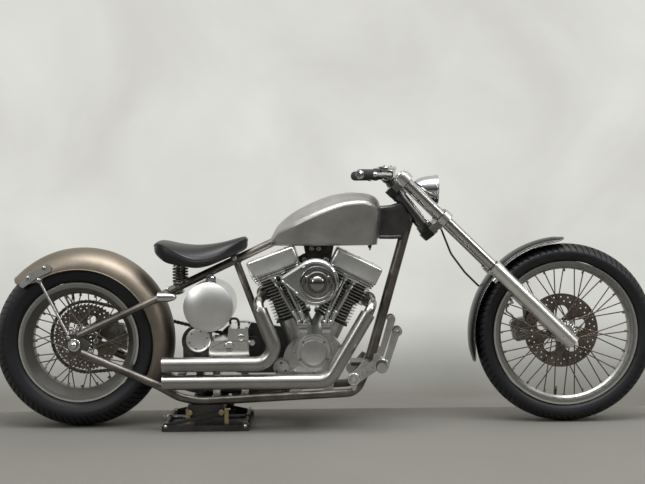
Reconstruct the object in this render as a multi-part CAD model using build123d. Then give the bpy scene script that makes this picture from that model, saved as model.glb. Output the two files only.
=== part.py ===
"""Rigid-frame chopper motorcycle standing on a low scissor jack.

Millimetres. +X is forward, +Y is the rider's left and +Z is up. The origin is on the ground,
under the middle of the overall length. Each function builds one node and returns its shape.
"""

from build123d import *
from math import cos, radians, sin
import os

# ---- wheels -----------------------------------------------------------------------------
REAR_AXLE_X = -950.5
FRONT_AXLE_X = 935.5
REAR_TYRE_R = 332.0
REAR_TYRE_HALF = 87.0
REAR_RIM_R = 232.0
REAR_RIM_HALF = 66.0
REAR_RIM_DEPTH = 46.0
FRONT_TYRE_R = 347.0
FRONT_TYRE_HALF = 50.0
FRONT_RIM_R = 279.0
FRONT_RIM_HALF = 38.0
FRONT_RIM_DEPTH = 30.0
BEAD_DEPTH = 15.0
RIM_LIP = 5.0
SPOKE_COUNT = 40
SPOKE_R = 2.3
AXLE_R = 9.5
AXLE_FIT = 0.05
RUN_GAP = 5.0
SEAM = 0.3
REAR_HUB_HALF = 62.0
FRONT_HUB_HALF = 57.0
DISC_R = 146.0
DISC_T = 5.0
DISC_Y = FRONT_HUB_HALF + DISC_T / 2

# ---- frame tubes ------------------------------------------------------------------------
RAIL_Y = 120.0
STAY_Y = 143.0
RAIL_R = 16.0
STAY_R = 13.0
BACKBONE_R = 16.0
BACKBONE_BEND = 300.0
DOWNTUBE_R = 20.0
SEAT_POST_R = 14.0
RAIL_REAR_X = -560.0
RAIL_REAR_Z = 104.0
RAIL_FRONT_X = 118.0
RAIL_FRONT_Z = 137.0
CROSS_X = 168.0
CROSS_Z = 236.0
AXLE_PLATE_T = 12.0
CAP_R = 18.0
CAP_TIP_R = 7.0
CAP_STRAIGHT = 26.0
CAP_TAPER = 34.0
CAP_BACK = 8.0

# ---- steering head and fork -------------------------------------------------------------
HEAD_X = 340.7
HEAD_Z = 828.5
HEAD_RAKE = 38.5
FORK_RAKE = 45.5
FORK_Y = 100.0
FORK_TUBE_R = 20.5
SLIDER_R = 29.0
AXLE_LEAD = 12.0
HEAD_TUBE_R = 25.0
HEAD_UP = 78.0
HEAD_DOWN = 84.0
STEM_R = 12.5
STEM_FIT = 0.05
TOP_TREE_UP = 867.0
TREE_GAP = 212.0
TREE_T = 30.0
SLIDER_LENGTH = 390.0
LIGHT_X = 446.0
LIGHT_Z = 908.5
LIGHT_R = 57.0
LIGHT_DEPTH = 108.0
LIGHT_BEZEL = 14.0
FENDER_LUG_UP = 350.0
SLIDER_END = 34.0
AXLE_BLIND = 8.0
CALIPER_X = 757.0
CALIPER_Z = 386.0
CALIPER_Y = 67.0
CALIPER_TURN = -13.0
CALIPER_WIDTH = 72.0
CALIPER_DEEP = 44.0
CALIPER_LENGTH = 136.0

# ---- rear fender ------------------------------------------------------------------------
REAR_FENDER_R = REAR_TYRE_R + 33.0
REAR_FENDER_HALF = 107.0
REAR_FENDER_SKIRT_R = REAR_TYRE_R - 46.0
REAR_FENDER_SHOULDER = 32.0
REAR_FENDER_FROM = -28.0
REAR_FENDER_TO = 135.0
FENDER_T = 3.0
FRONT_FENDER_R = 377.0
FRONT_FENDER_HALF = 58.0
FRONT_FENDER_SKIRT_R = 355.0
FRONT_FENDER_FROM = 92.5
FRONT_FENDER_TO = 196.0

# ---- body work --------------------------------------------------------------------------
TANK_BASE = 698.0
TANK_FOOT_X = 206.0
TANK_NOSE_X = 222.5
TANK_NOSE_Z = 800.0
SPRING_X = -560.0
SPRING_Y = 90.0
SPRING_LOW = 561.0
SPRING_HIGH = 630.0
DRUM_X = -444.0
DRUM_Z = 468.0
DRUM_R = 95.0
DRUM_HALF = 129.0
DRUM_RIM = 14.0
DRUM_DOME = 4.0
DRUM_FLAT = 14.0

# ---- engine -----------------------------------------------------------------------------
CRANK_X = -58.0
CRANK_Z = 248.0
REAR_LEAN = -19.8
FRONT_LEAN = 26.3
CASE_R = 104.0
CASE_HALF = 68.0
CASE_BASE = 158.0
DECK = 182.0
BARREL_R = 54.0
FIN_T = 3.6
FIN_PITCH = 12.4
BARREL_FINS = 7
BARREL_FIN_R = 75.0
HEAD_FINS = 6
HEAD_FIN_HALF = 88.0
HEAD_FIN_WIDE = 76.0
ROCKER_LENGTH = 196.0
ROCKER_UP = 400.0
ROCKER_T = 88.0
ROCKER_HALF = 84.0
ROCKER_CORNER = 24.0
ROCKER_ROUND = 12.0
PORT_UP = 312.0
PUSHROD_FOOT_Z = 402.0
PUSHROD_Y = -96.0
PUSHROD_R = 9.5
PUSHROD_EAR = 66.0
PUSHROD_EAR_T = 14.0
AIR_X = -32.0
AIR_Z = 566.0
AIR_R = 88.0
AIR_BACK = -166.0
AIR_FRONT = -212.0
CARB_X = -39.0

# ---- exhaust ----------------------------------------------------------------------------
PIPE_R = 28.0
PIPE_WALL = 2.0
PIPE_Y = -200.0
PIPE_END_X = -612.0
PIPE_OPEN = 160.0
UPPER_PIPE_Z = 261.0
LOWER_PIPE_Z = 194.0

# ---- chain drive ------------------------------------------------------------------------
CHAIN_Y = 117.0
CHAIN_PITCH = 15.875
CHAIN_WIDTH = 15.0
CHAIN_HALF_T = 7.5
CHAIN_GAP = 1.5
REAR_TEETH = 56
SMALL_TEETH = 20
SMALL_X = -392.0
SMALL_Z = 285.0
SPROCKET_T = 7.0

# ---- jack and stand ---------------------------------------------------------------------
JACK_X = -456.0
JACK_TOP_LENGTH = 146.0
JACK_TOP_HALF = 142.0
JACK_TOP_Z = 86.0
JACK_BASE_LENGTH = 330.0
JACK_BASE_HALF = 165.0
JACK_PLATE_T = 5.0
STAND_X = -160.0
STAND_Y = 160.0
STAND_Z = 88.0
STAND_LENGTH = 214.0
STAND_R = 11.0
STAND_PIN_R = 6.0
STAND_EAR_OUT = 18.0
STAND_AXIS = (0.0, -0.38, -0.925)

# ---- handlebar --------------------------------------------------------------------------
BAR_R = 12.7
GRIP_R = 19.0
GRIP_LENGTH = 122.0
BAR_END_X = 134.0
BAR_END_Y = 372.0
BAR_END_Z = 966.0
RISER_Y = 45.0
BAR_MID_X = 250.0
BAR_MID_Z = 955.0
MIRROR_IN = 58.0
MIRROR_BOSS_UP = 14.0
MIRROR_HOLE_R = 5.0
MIRROR_HOLE_DEPTH = 14.0
RESERVOIR_OUT = 30.0


# ---- shared shapes ----------------------------------------------------------------------
def rod(start, end, radius):
    """A straight round bar from start to end."""
    span = Vector(*end) - Vector(*start)
    bar = Cylinder(radius, span.length, align=(Align.CENTER, Align.CENTER, Align.MIN))
    return Plane(origin=start, z_dir=span) * bar


def across(x, z, radius, low_y, high_y):
    """A round bar along Y at x, z."""
    return rod((x, low_y, z), (x, high_y, z), radius)


def bent(points, radius, bends):
    """A round bar along straight runs joined by tangent arcs."""
    path = FilletPolyline(*points, radius=bends)
    return sweep(Plane(origin=path @ 0, z_dir=path % 0) * Circle(radius), path=path)


def side_extrude(face, low_y, high_y):
    """A flat shape drawn in x and z, made solid from low_y to high_y."""
    plane = Plane((0, high_y, 0), x_dir=(1, 0, 0), z_dir=(0, -1, 0))
    return extrude(plane * face, amount=high_y - low_y, dir=(0, -1, 0))


def slab(outline, low_y, high_y):
    """A flat plate standing in the XZ plane, with its outline given as x, z pairs."""
    return side_extrude(Polygon(*outline, align=None), low_y, high_y)


def block(low, high):
    """A box between two corners."""
    size = [high[i] - low[i] for i in range(3)]
    centre = [(high[i] + low[i]) / 2 for i in range(3)]
    return Pos(*centre) * Box(*size)


def mirror_y(shape):
    """The same piece on the other side of the machine."""
    return mirror(shape, about=Plane.XZ)


def joined(*shapes):
    """Several separate solids in one node."""
    solids = []
    for shape in shapes:
        solids.extend(shape.solids())
    return Compound(children=solids)


def largest(shape):
    """The biggest solid of a shape, without the chips that a cut leaves."""
    return max(shape.solids(), key=lambda solid: solid.volume)


def spine_tube(radius):
    """The backbone's bent line as a round bar."""
    return bent([BACKBONE_REAR, BACKBONE_KNEE, BACKBONE_FRONT], radius, BACKBONE_BEND)


def wheel_plane(x, z, angle=0.0):
    """A plane through an axle: local x points outwards at an angle above +X, local y is +Y."""
    a = radians(angle)
    return Plane((x, 0, z), x_dir=(cos(a), 0, sin(a)), z_dir=(-sin(a), 0, cos(a)))


def swept_round(x, z, profile, start=0.0, arc=360.0):
    """A radius, y profile turned about an axle, from an angle above +X towards +Z."""
    face = wheel_plane(x, z, start) * profile
    return revolve(face, axis=Axis((x, 0, z), (0, -1, 0)), revolution_arc=arc)


# ---- places worked out from the sizes ---------------------------------------------------
HEAD_UP_DIR = (-sin(radians(HEAD_RAKE)), 0.0, cos(radians(HEAD_RAKE)))
FORK_DIR = (-sin(radians(FORK_RAKE)), 0.0, cos(radians(FORK_RAKE)))
FORK_BACK = (-cos(radians(FORK_RAKE)), 0.0, -sin(radians(FORK_RAKE)))


def on_head(distance):
    """A point on the steering axis, measured up from its middle."""
    return (HEAD_X + distance * HEAD_UP_DIR[0], 0.0, HEAD_Z + distance * HEAD_UP_DIR[2])


def on_fork(up, y=0.0, back=0.0):
    """A point beside a fork leg: up from the axle's level, across, and behind the leg."""
    x = FRONT_AXLE_X + (AXLE_LEAD + back) * FORK_BACK[0] + up * FORK_DIR[0]
    z = FRONT_TYRE_R + (AXLE_LEAD + back) * FORK_BACK[2] + up * FORK_DIR[2]
    return (x, y, z)


def fork_plane(up):
    """A plane square to the legs: local x points back from them, local y points to +Y."""
    return Plane(on_fork(up), x_dir=FORK_BACK, z_dir=tuple(-c for c in FORK_DIR))


def cylinder_plane(lean, up):
    """A plane square to an engine cylinder, with local y along +Y."""
    a = radians(lean)
    place = (CRANK_X + up * sin(a), 0.0, CRANK_Z + up * cos(a))
    return Plane(place, x_dir=(cos(a), 0, -sin(a)), z_dir=(sin(a), 0, cos(a)))


def rail_z(x):
    """Height of the bottom rails' centre line."""
    slope = (RAIL_FRONT_Z - RAIL_REAR_Z) / (RAIL_FRONT_X - RAIL_REAR_X)
    return RAIL_REAR_Z + (x - RAIL_REAR_X) * slope


BACKBONE_REAR = (-600.0, 0.0, 524.0)
BACKBONE_KNEE = (-130.0, 0.0, 741.0)
BACKBONE_FRONT = (222.0, 0.0, 800.0)
UPPER_STAY_REAR = (REAR_AXLE_X - 11.5, -STAY_Y, REAR_TYRE_R + 24.0)
UPPER_STAY_FRONT = (-622.0, -STAY_Y, 511.0)
LOWER_STAY_REAR = (REAR_AXLE_X + 20.5, -STAY_Y, REAR_TYRE_R - 29.0)
SEAT_POST_TOP = (-345.0, 0.0, 645.0)
SEAT_POST_FOOT = (-152.0, 0.0, 124.0)
DOWNTUBE_TOP = (340.0, 0.0, 826.0)


# ---- frame ------------------------------------------------------------------------------
def neck():
    """Steering head tube with its bearing cups and the boxed gusset behind it."""
    low = on_head(-HEAD_DOWN)
    high = on_head(HEAD_UP)
    tube = rod(low, high, HEAD_TUBE_R)
    cups = [rod(low, on_head(-HEAD_DOWN + 14), HEAD_TUBE_R + 4)]
    cups.append(rod(on_head(HEAD_UP - 14), high, HEAD_TUBE_R + 4))
    box = slab([(214, 724), (299, 721), (345, 775), (308, 848), (224, 843)], -34, 34)
    head = tube + cups + box
    return head - rod(on_head(-HEAD_DOWN - 1), on_head(HEAD_UP + 1), STEM_R + STEM_FIT)


def backbone():
    """Top tube from the gusset to the rear cross tube that the stays' ends meet."""
    spine = spine_tube(BACKBONE_R)
    ends = STAY_Y - STAY_R + 4
    cross = across(UPPER_STAY_FRONT[0] + 14, UPPER_STAY_FRONT[2] + 2, 13, -ends, ends)
    tab = slab([(-640, 520), (-600, 520), (-600, 500), (-624, 492)], -12, 12)
    shape = spine + cross + tab
    crown = swept_round(REAR_AXLE_X, REAR_TYRE_R, rear_fender_outer(), 0, 90)
    return shape - neck() - crown - upper_stays()


def downtube():
    """Single front tube on its cross tube, which carries the rails and the motor mount."""
    foot = (CROSS_X + 4, 0, CROSS_Z)
    shape = rod(foot, DOWNTUBE_TOP, DOWNTUBE_R)
    shape += across(CROSS_X, CROSS_Z, 17, -RAIL_Y, RAIL_Y)
    shape += block((100, -60, CROSS_Z - 6), (CROSS_X, 60, CROSS_Z + 8))
    head = rod(on_head(-HEAD_DOWN), on_head(HEAD_UP), HEAD_TUBE_R)
    return shape - head - neck() - rail(-1) - rail(1)


def seat_post():
    """Tube from the backbone down to the cross tube between engine and transmission."""
    shape = rod(SEAT_POST_FOOT, SEAT_POST_TOP, SEAT_POST_R)
    shape += across(SEAT_POST_FOOT[0], rail_z(SEAT_POST_FOOT[0]), 13, -RAIL_Y, RAIL_Y)
    return shape - spine_tube(BACKBONE_R) \
        - rail(-1) - rail(1)


def rail(side):
    """Bottom rail with its lower stay and axle plate, all welded up as one side."""
    y = side * RAIL_Y
    stay_y = side * STAY_Y
    path = [
        (LOWER_STAY_REAR[0], stay_y, LOWER_STAY_REAR[2]),
        (-640, stay_y, 177),
        (RAIL_REAR_X, y, RAIL_REAR_Z + 22),
        (-480, y, rail_z(-480)),
        (RAIL_FRONT_X, y, RAIL_FRONT_Z),
        (CROSS_X, y, CROSS_Z + 8),
    ]
    shape = bent(path, RAIL_R, [150, 90, 260, 60])
    x, z = REAR_AXLE_X, REAR_TYRE_R
    outline = [
        (x - 42, z + 8), (x - 22, z + 40), (x + 12, z + 42),
        (x + 62, z + 4), (x + 40, z - 44), (x - 8, z - 40),
    ]
    edges = sorted((stay_y - AXLE_PLATE_T / 2, stay_y + AXLE_PLATE_T / 2))
    plate = slab(outline, *edges)
    slot = block((x - AXLE_R - 8, edges[0] - 1, z - AXLE_R), (x + 26, edges[1] + 1, z + AXLE_R))
    if side > 0:
        shape += stand_bracket()
    return (shape - rear_stay_clear(side) + plate) - slot


def rear_stay_clear(side):
    """The room behind the plate's nose that the lower stay's end stays out of."""
    y = side * STAY_Y
    low = (REAR_AXLE_X - 60, y - 30, REAR_TYRE_R - 82)
    return block(low, (REAR_AXLE_X + 28, y + 30, REAR_TYRE_R + 88))


def upper_stays():
    """Both upper stays, from the axle plates to bullet-shaped caps at their front ends."""
    span = Vector(*UPPER_STAY_FRONT) - Vector(*UPPER_STAY_REAR)
    start = Vector(*UPPER_STAY_REAR) + span * 0.075
    stay = rod(tuple(start), UPPER_STAY_FRONT, STAY_R)
    end = CAP_STRAIGHT + CAP_TAPER
    outline = Polyline((-CAP_BACK, 0), (-CAP_BACK, CAP_R), (CAP_STRAIGHT, CAP_R),
                       (end - CAP_TIP_R, CAP_TIP_R + 1), (end, CAP_TIP_R / 2), (end, 0), close=True)
    face = Plane(UPPER_STAY_FRONT, x_dir=(1, 0, 0), z_dir=(0, -1, 0))
    cap = revolve(face * make_face(outline), axis=Axis(UPPER_STAY_FRONT, (1, 0, 0)))
    x, z = REAR_AXLE_X, REAR_TYRE_R
    tongue = slab(
        [(x + 2, z + 42.3), (x + 26, z + 32), (x + 62, z + 50), (x + 40, z + 66)],
        -STAY_Y - AXLE_PLATE_T / 2, -STAY_Y + AXLE_PLATE_T / 2,
    )
    right = stay + cap + tongue - rail(-1)
    return joined(right, mirror_y(right))


def rear_fender_outer(inset=0.0):
    """Rear fender section: crowned top and short flat skirts, as radius and y."""
    half = REAR_FENDER_HALF - inset
    shoulder = REAR_FENDER_R - REAR_FENDER_SHOULDER
    crown = REAR_FENDER_R - inset
    sides = Polyline((shoulder, half), (REAR_FENDER_SKIRT_R, half), (REAR_FENDER_SKIRT_R, -half),
                     (shoulder, -half))
    top = ThreePointArc((shoulder, -half), (crown, 0), (shoulder, half))
    return make_face(sides + top)


def rear_fender():
    """Wide steel fender that follows the rear tyre."""
    arc = REAR_FENDER_TO - REAR_FENDER_FROM
    x, z = REAR_AXLE_X, REAR_TYRE_R
    outer = swept_round(x, z, rear_fender_outer(), REAR_FENDER_FROM, arc)
    inner = swept_round(x, z, rear_fender_outer(FENDER_T), REAR_FENDER_FROM - 5, arc + 10)
    bore = across(x, z, REAR_FENDER_SKIRT_R + 0.5, -REAR_FENDER_HALF + FENDER_T,
                  REAR_FENDER_HALF - FENDER_T)
    return outer - inner - bore


def fender_struts():
    """Thin struts and light brackets that hold the rear fender to the axle plates."""
    inner = -REAR_FENDER_HALF
    plate_face = -STAY_Y + AXLE_PLATE_T / 2
    foot_x, foot_z = REAR_AXLE_X - 21.5, REAR_TYRE_R + 28.0
    strut = rod((-1082, plate_face + 6, 578), (foot_x, plate_face + 6, foot_z), 5)
    foot = across(foot_x, foot_z, 9, plate_face, plate_face + 10)
    top = across(-1082, 578, 9, plate_face, inner)
    outline = [
        (-1163, 556), (-1156, 572), (-1112, 612), (-1052, 640), (-1040, 628), (-1044, 610),
        (-1096, 586), (-1150, 548),
    ]
    bracket = slab(outline, inner - 4, inner)
    right = strut + foot + top + bracket - rail(-1)
    return joined(right, mirror_y(right))


# ---- body work --------------------------------------------------------------------------
# each section: x, half width at the crease, crease height, crown height, half width at the base
TANK_SECTIONS = [
    (-205.0, 44.0, 712.0, 726.0, 36.0),
    (-176.0, 76.0, 748.0, 774.0, 62.0),
    (-100.0, 112.0, 788.0, 834.0, 88.0),
    (20.0, 132.0, 838.0, 886.0, 104.0),
    (125.0, 124.0, 862.0, 899.0, 100.0),
    (195.0, 92.0, 848.0, 880.0, 78.0),
    (222.0, 66.0, 800.0, 836.0, 58.0),
]


def fuel_tank():
    """Teardrop tank with a creased shoulder, open below along the backbone."""
    faces = []
    for x, half, crease, crown, base_half in TANK_SECTIONS:
        plane = Plane((x, 0, 0), x_dir=(0, 1, 0), z_dir=(1, 0, 0))
        bulge = (max(half, base_half) * 0.55 + base_half * 0.45 + half * 0.08)
        middle = TANK_BASE + (crease - TANK_BASE) * 0.5
        outline = Line((-base_half, TANK_BASE), (base_half, TANK_BASE)) + \
            ThreePointArc((base_half, TANK_BASE), (bulge, middle), (half, crease)) + \
            ThreePointArc((half, crease), (0, crown), (-half, crease)) + \
            ThreePointArc((-half, crease), (-bulge, middle), (-base_half, TANK_BASE))
        faces.append(plane * make_face(outline))
    tank = loft(faces)
    tunnel = spine_tube(BACKBONE_R + 4)
    floor = [(-230, 690), (230, 690), (230, 802), (-130, 742), (-230, 696)]
    channel = slab(floor, -BACKBONE_R - 4, BACKBONE_R + 4)
    front = slab([(TANK_FOOT_X, TANK_BASE - 1), (TANK_NOSE_X, TANK_NOSE_Z), (260, TANK_NOSE_Z),
                  (260, TANK_BASE - 1)], -150, 150)
    return tank - tunnel - channel - front - neck()


def seat():
    """Sprung solo saddle, broad behind and narrow in front."""
    side = [
        (-650, 676), (-654, 700), (-640, 722), (-570, 710), (-497, 703), (-400, 713),
        (-320, 733), (-300, 728), (-298, 702), (-314, 674), (-408, 637), (-484, 614), (-536, 630),
        (-584, 630), (-636, 656),
    ]
    body = slab(side, -150, 150)
    plan = [
        (-655, -60), (-640, -110), (-590, -142), (-520, -146), (-440, -104), (-380, -66),
        (-296, -42), (-296, 42), (-380, 66), (-440, 104), (-520, 146), (-590, 142),
        (-640, 110), (-655, 60),
    ]
    pad = Polygon(*plan, align=None)
    pad = fillet(pad.vertices(), 18)
    return body & extrude(Pos(0, 0, 600) * pad, amount=200, dir=(0, 0, 1))


def seat_springs():
    """Two coil springs on a cross bar behind, and the pivot bracket in front."""
    parts = block((SPRING_X - 16, -SPRING_Y - 14, SPRING_LOW - 8),
                  (SPRING_X + 16, SPRING_Y + 14, SPRING_LOW))
    rings = 5
    pitch = (SPRING_HIGH - SPRING_LOW - 12) / rings
    for y in (-SPRING_Y, SPRING_Y):
        parts += rod((SPRING_X, y, SPRING_LOW - 1), (SPRING_X, y, SPRING_HIGH - 0.3), 9)
        for k in range(rings):
            parts += Pos(SPRING_X, y, SPRING_LOW + 8 + pitch * k) * Torus(17, 4)
            parts += Pos(SPRING_X, y, SPRING_LOW + 8 + pitch * k) * Cylinder(16, 2)
    pivot = slab([(-362, 640), (-332, 640), (-332, 666.6), (-362, 654.8)], -30, 30)
    spine = spine_tube(BACKBONE_R)
    return joined(parts - spine, pivot - spine)


def oil_drum():
    """The oil tank's barrel with its domed ends."""
    edge = DRUM_HALF - DRUM_RIM
    pole = DRUM_HALF + DRUM_DOME
    outline = Polyline((DRUM_R, edge), (DRUM_R, -edge)) + \
        ThreePointArc((DRUM_R, -edge), (DRUM_R * 0.6, -DRUM_HALF), (DRUM_FLAT, -pole)) + \
        Polyline((DRUM_FLAT, -pole), (0, -pole), (0, pole), (DRUM_FLAT, pole)) + \
        ThreePointArc((DRUM_FLAT, pole), (DRUM_R * 0.6, DRUM_HALF), (DRUM_R, edge))
    return swept_round(DRUM_X, DRUM_Z, make_face(outline))


def oil_tank():
    """Round oil tank lying across the frame, with its cap and the hanger to the backbone."""
    cap = rod((-436, -62, DRUM_Z + DRUM_R - 6), (-436, -62, DRUM_Z + DRUM_R + 12), 20)
    hanger = block((DRUM_X - 14, -14, DRUM_Z + DRUM_R - 6), (DRUM_X + 14, 14, 588))
    return oil_drum() + cap + (hanger - spine_tube(BACKBONE_R))


# ---- engine -----------------------------------------------------------------------------
def crankcase():
    """Crankcase with its cylinder decks, gear chest, round cam cover and lifter blocks."""
    case = across(CRANK_X, CRANK_Z, CASE_R, -CASE_HALF, CASE_HALF)
    case &= block((CRANK_X - 200, -200, CASE_BASE), (CRANK_X + 200, 200, 600))
    for lean in (REAR_LEAN, FRONT_LEAN):
        deck = Cylinder(BARREL_R + 8, DECK - 60, align=(Align.CENTER, Align.CENTER, Align.MAX))
        case += cylinder_plane(lean, DECK) * deck
    chest = slab([(-118, 214), (-126, 300), (-98, 356), (30, 356), (62, 320), (66, 240), (30, 214)],
                 -118, -CASE_HALF)
    case += chest
    case += across(-43, 292, 68, -136, -118)
    case += across(-43, 292, 49, -144, -136)
    case += across(-168, 232, 30, -110, -40)
    for x in (-82, 8):
        case += block((x - 21, -112, 354), (x + 21, -78, 402))
    case += across(CRANK_X, CRANK_Z, 60, CASE_HALF, 128)
    for x in (-112, 12):
        case += block((x - 20, -RAIL_Y, rail_z(x)), (x + 20, RAIL_Y, CASE_BASE + 8))
    return case - rail(-1) - rail(1) - seat_post()


def cylinders():
    """Both finned barrels with their finned heads, standing on the crankcase decks."""
    shapes = []
    for lean, port_side in ((REAR_LEAN, -1), (FRONT_LEAN, 1)):
        bottom = ROCKER_UP - ROCKER_T / 2
        core = Cylinder(BARREL_R, bottom - DECK, align=(Align.CENTER, Align.CENTER, Align.MIN))
        shape = cylinder_plane(lean, DECK) * core
        first = DECK + 14
        for k in range(BARREL_FINS):
            shape += cylinder_plane(lean, first + k * FIN_PITCH) * Cylinder(BARREL_FIN_R, FIN_T)
        for k in range(HEAD_FINS):
            up = first + (BARREL_FINS + k) * FIN_PITCH
            fin = RectangleRounded(2 * HEAD_FIN_HALF, 2 * HEAD_FIN_WIDE, 30)
            shape += cylinder_plane(lean, up - FIN_T / 2) * extrude(fin, amount=FIN_T)
        port = cylinder_plane(lean, PORT_UP)
        stub = Plane(port.origin, z_dir=port.x_dir * port_side) * \
            Cylinder(26, HEAD_FIN_HALF + 2, align=(Align.CENTER, Align.CENTER, Align.MIN))
        shapes.append(shape + Pos(0, -44, 0) * stub)
    return joined(*shapes)


def rocker_boxes():
    """Plain polished boxes that close both heads."""
    shapes = []
    for lean in (REAR_LEAN, FRONT_LEAN):
        box = extrude(RectangleRounded(ROCKER_LENGTH, 2 * ROCKER_HALF, ROCKER_CORNER), amount=ROCKER_T)
        box = fillet(box.faces().sort_by(Axis.Z)[-1].edges(), ROCKER_ROUND)
        ear = Pos(0, PUSHROD_Y + PUSHROD_R, PUSHROD_EAR_T / 2) * \
            Box(PUSHROD_EAR, 4 * PUSHROD_R, PUSHROD_EAR_T)
        shapes.append(cylinder_plane(lean, ROCKER_UP - ROCKER_T / 2) * (box + ear))
    return joined(*shapes)


# each tube: foot x, lean of its cylinder, distance across the cylinder where it meets the head
PUSHROD_TUBES = [
    (-96.0, REAR_LEAN, -17.0),
    (-72.0, REAR_LEAN, 16.0),
    (-4.0, FRONT_LEAN, -20.0),
    (20.0, FRONT_LEAN, 14.0),
]


def pushrod_tubes():
    """Four pushrod tubes from the lifter blocks to the ears under the rocker boxes."""
    tubes = []
    for foot_x, lean, reach in PUSHROD_TUBES:
        top = cylinder_plane(lean, ROCKER_UP - ROCKER_T / 2).from_local_coords((reach, 0, 0))
        slope = (top.X - foot_x) / (top.Z - PUSHROD_FOOT_Z)
        sunk = 10.0
        start = (foot_x - sunk * slope, PUSHROD_Y, PUSHROD_FOOT_Z - sunk)
        end = (top.X + sunk * slope, PUSHROD_Y, top.Z + sunk)
        tube = rod(start, end, PUSHROD_R)
        tubes.append(tube - block((-200, -200, 300), (200, 0, PUSHROD_FOOT_Z)) - rocker_boxes())
    return joined(*tubes)


def carburettor():
    """Carburettor and its manifold, in the V between the heads."""
    body = across(CARB_X, AIR_Z, 30, AIR_BACK, -20)
    flange = across(CARB_X, AIR_Z, 40, AIR_BACK, -130)
    manifold = rod((CARB_X - 60, -42, AIR_Z - 6), (CARB_X + 60, -42, AIR_Z - 6), 18)
    return largest(body + flange + manifold - cylinders() - top_motor_mount())


def air_cleaner():
    """Chrome teardrop cover over the carburettor's mouth."""
    round_end = Pos(AIR_X, AIR_Z) * Circle(AIR_R)
    tail = Pos(AIR_X - 118, AIR_Z + 10) * Circle(14)
    outline = make_hull(round_end.edges() + tail.edges())
    cover = side_extrude(outline, AIR_FRONT, AIR_BACK)
    return fillet(cover.faces().sort_by(Axis.Y)[0].edges(), 10)


def transmission():
    """Transmission case with its top cover and side cover, on two frame mounts."""
    case = slab([(-440, 225), (-445, 336), (-372, 342), (-368, 385), (-293, 385), (-288, 225)],
                -108, 100)
    case += slab([(-436, 284), (-436, 312), (-384, 336), (-300, 338), (-288, 284)], -124, -108)
    case += block((-420, -128, 284), (-300, -124, 306))
    case += across(SMALL_X, SMALL_Z, 22, 100, CHAIN_Y - SPROCKET_T / 2)
    case += across(-277, 330, 10, -118, -96)
    case += rod((-277, -96, 330), (-300, -90, 330), 8)
    for x in (-420, -310):
        case += block((x - 14, -RAIL_Y, rail_z(x)), (x + 14, RAIL_Y, rail_z(x) + 12))
        case += block((x - 14, -60, rail_z(x)), (x + 14, 60, 226))
    return case - rail(-1) - rail(1) - seat_post()


def battery_box():
    """Box behind the transmission with a round plated cover on its right side."""
    box = block((-545, -84, 262), (-447, 84, 362))
    box += across(-487, 336, 62, -92, -84) & block((-549, -93, 274), (-449, -80, 400))
    box += across(-484, 341, 43, -104, -92)
    box += block((-520, -60, 362), (-480, 60, 388))
    lower = block((-500, -RAIL_Y, rail_z(-480)), (-474, RAIL_Y, rail_z(-480) + 12))
    leg = block((-500, -40, rail_z(-480)), (-474, 40, 264))
    return box + lower + leg - oil_drum() - rail(-1) - rail(1) - transmission()


def primary_cover():
    """Long primary drive cover on the left side."""
    outer = [Pos(CRANK_X, CRANK_Z + 14) * Circle(84), Pos(-330, 282) * Circle(104)]
    outline = make_hull(outer[0].edges() + outer[1].edges())
    cover = side_extrude(outline, 130, 196)
    cover = fillet(cover.faces().sort_by(Axis.Y)[-1].edges(), 14)
    cover += across(CRANK_X, CRANK_Z, 60, 128, 130)
    cover += across(-285, 300, 28, 100, 130)
    return cover


def top_motor_mount():
    """Plate from the cylinder heads up to the backbone."""
    plate = slab([(-62, 610), (22, 610), (40, 700), (12, 790), (-40, 790), (-80, 700)], -7, 7)
    spine = spine_tube(BACKBONE_R)
    cap = slab([(-230, 640), (-130, 741), (60, 773), (300, 812), (300, 1000), (-400, 1000)], -8, 8)
    return plate - spine - cap - rocker_boxes() - cylinders()


# ---- exhaust ----------------------------------------------------------------------------
def exhaust_pipe(points, bends):
    """One pipe with an open tail."""
    pipe = bent(points, PIPE_R, bends)
    tail = points[-1]
    bore = rod((tail[0] - 1, tail[1], tail[2]), (tail[0] + PIPE_OPEN, tail[1], tail[2]),
               PIPE_R - PIPE_WALL)
    return pipe - bore - cylinders()


def upper_exhaust():
    """Pipe of the rear cylinder."""
    points = [(-232, -44, 516), (-252, PIPE_Y, 486), (-163, PIPE_Y, UPPER_PIPE_Z),
              (PIPE_END_X, PIPE_Y, UPPER_PIPE_Z)]
    return exhaust_pipe(points, [48, 66])


def lower_exhaust():
    """Pipe of the front cylinder."""
    points = [(168, -44, 487), (183, PIPE_Y, 480), (12, PIPE_Y, LOWER_PIPE_Z),
              (PIPE_END_X, PIPE_Y, LOWER_PIPE_Z)]
    return exhaust_pipe(points, [48, 66])


# ---- chain drive ------------------------------------------------------------------------
def pitch_radius(teeth):
    """Radius of a sprocket's pitch circle."""
    return CHAIN_PITCH / 2 / sin(radians(180 / teeth))


def chain_outline(grow):
    """The closed line round both sprockets, grown outwards from the pitch line."""
    big = Pos(REAR_AXLE_X, REAR_TYRE_R) * Circle(pitch_radius(REAR_TEETH) + grow)
    small = Pos(SMALL_X, SMALL_Z) * Circle(pitch_radius(SMALL_TEETH) + grow)
    return make_hull(big.edges() + small.edges())


def drive_chain():
    """Drive chain as one closed band round both sprockets, with the small sprocket."""
    low, high = CHAIN_Y - CHAIN_WIDTH / 2, CHAIN_Y + CHAIN_WIDTH / 2
    band = side_extrude(chain_outline(CHAIN_HALF_T), low, high)
    band -= side_extrude(chain_outline(-CHAIN_HALF_T), low - 1, high + 1)
    half = SPROCKET_T / 2
    small = across(SMALL_X, SMALL_Z, pitch_radius(SMALL_TEETH) - CHAIN_HALF_T + 1,
                   CHAIN_Y - half, CHAIN_Y + half)
    return band + small


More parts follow.
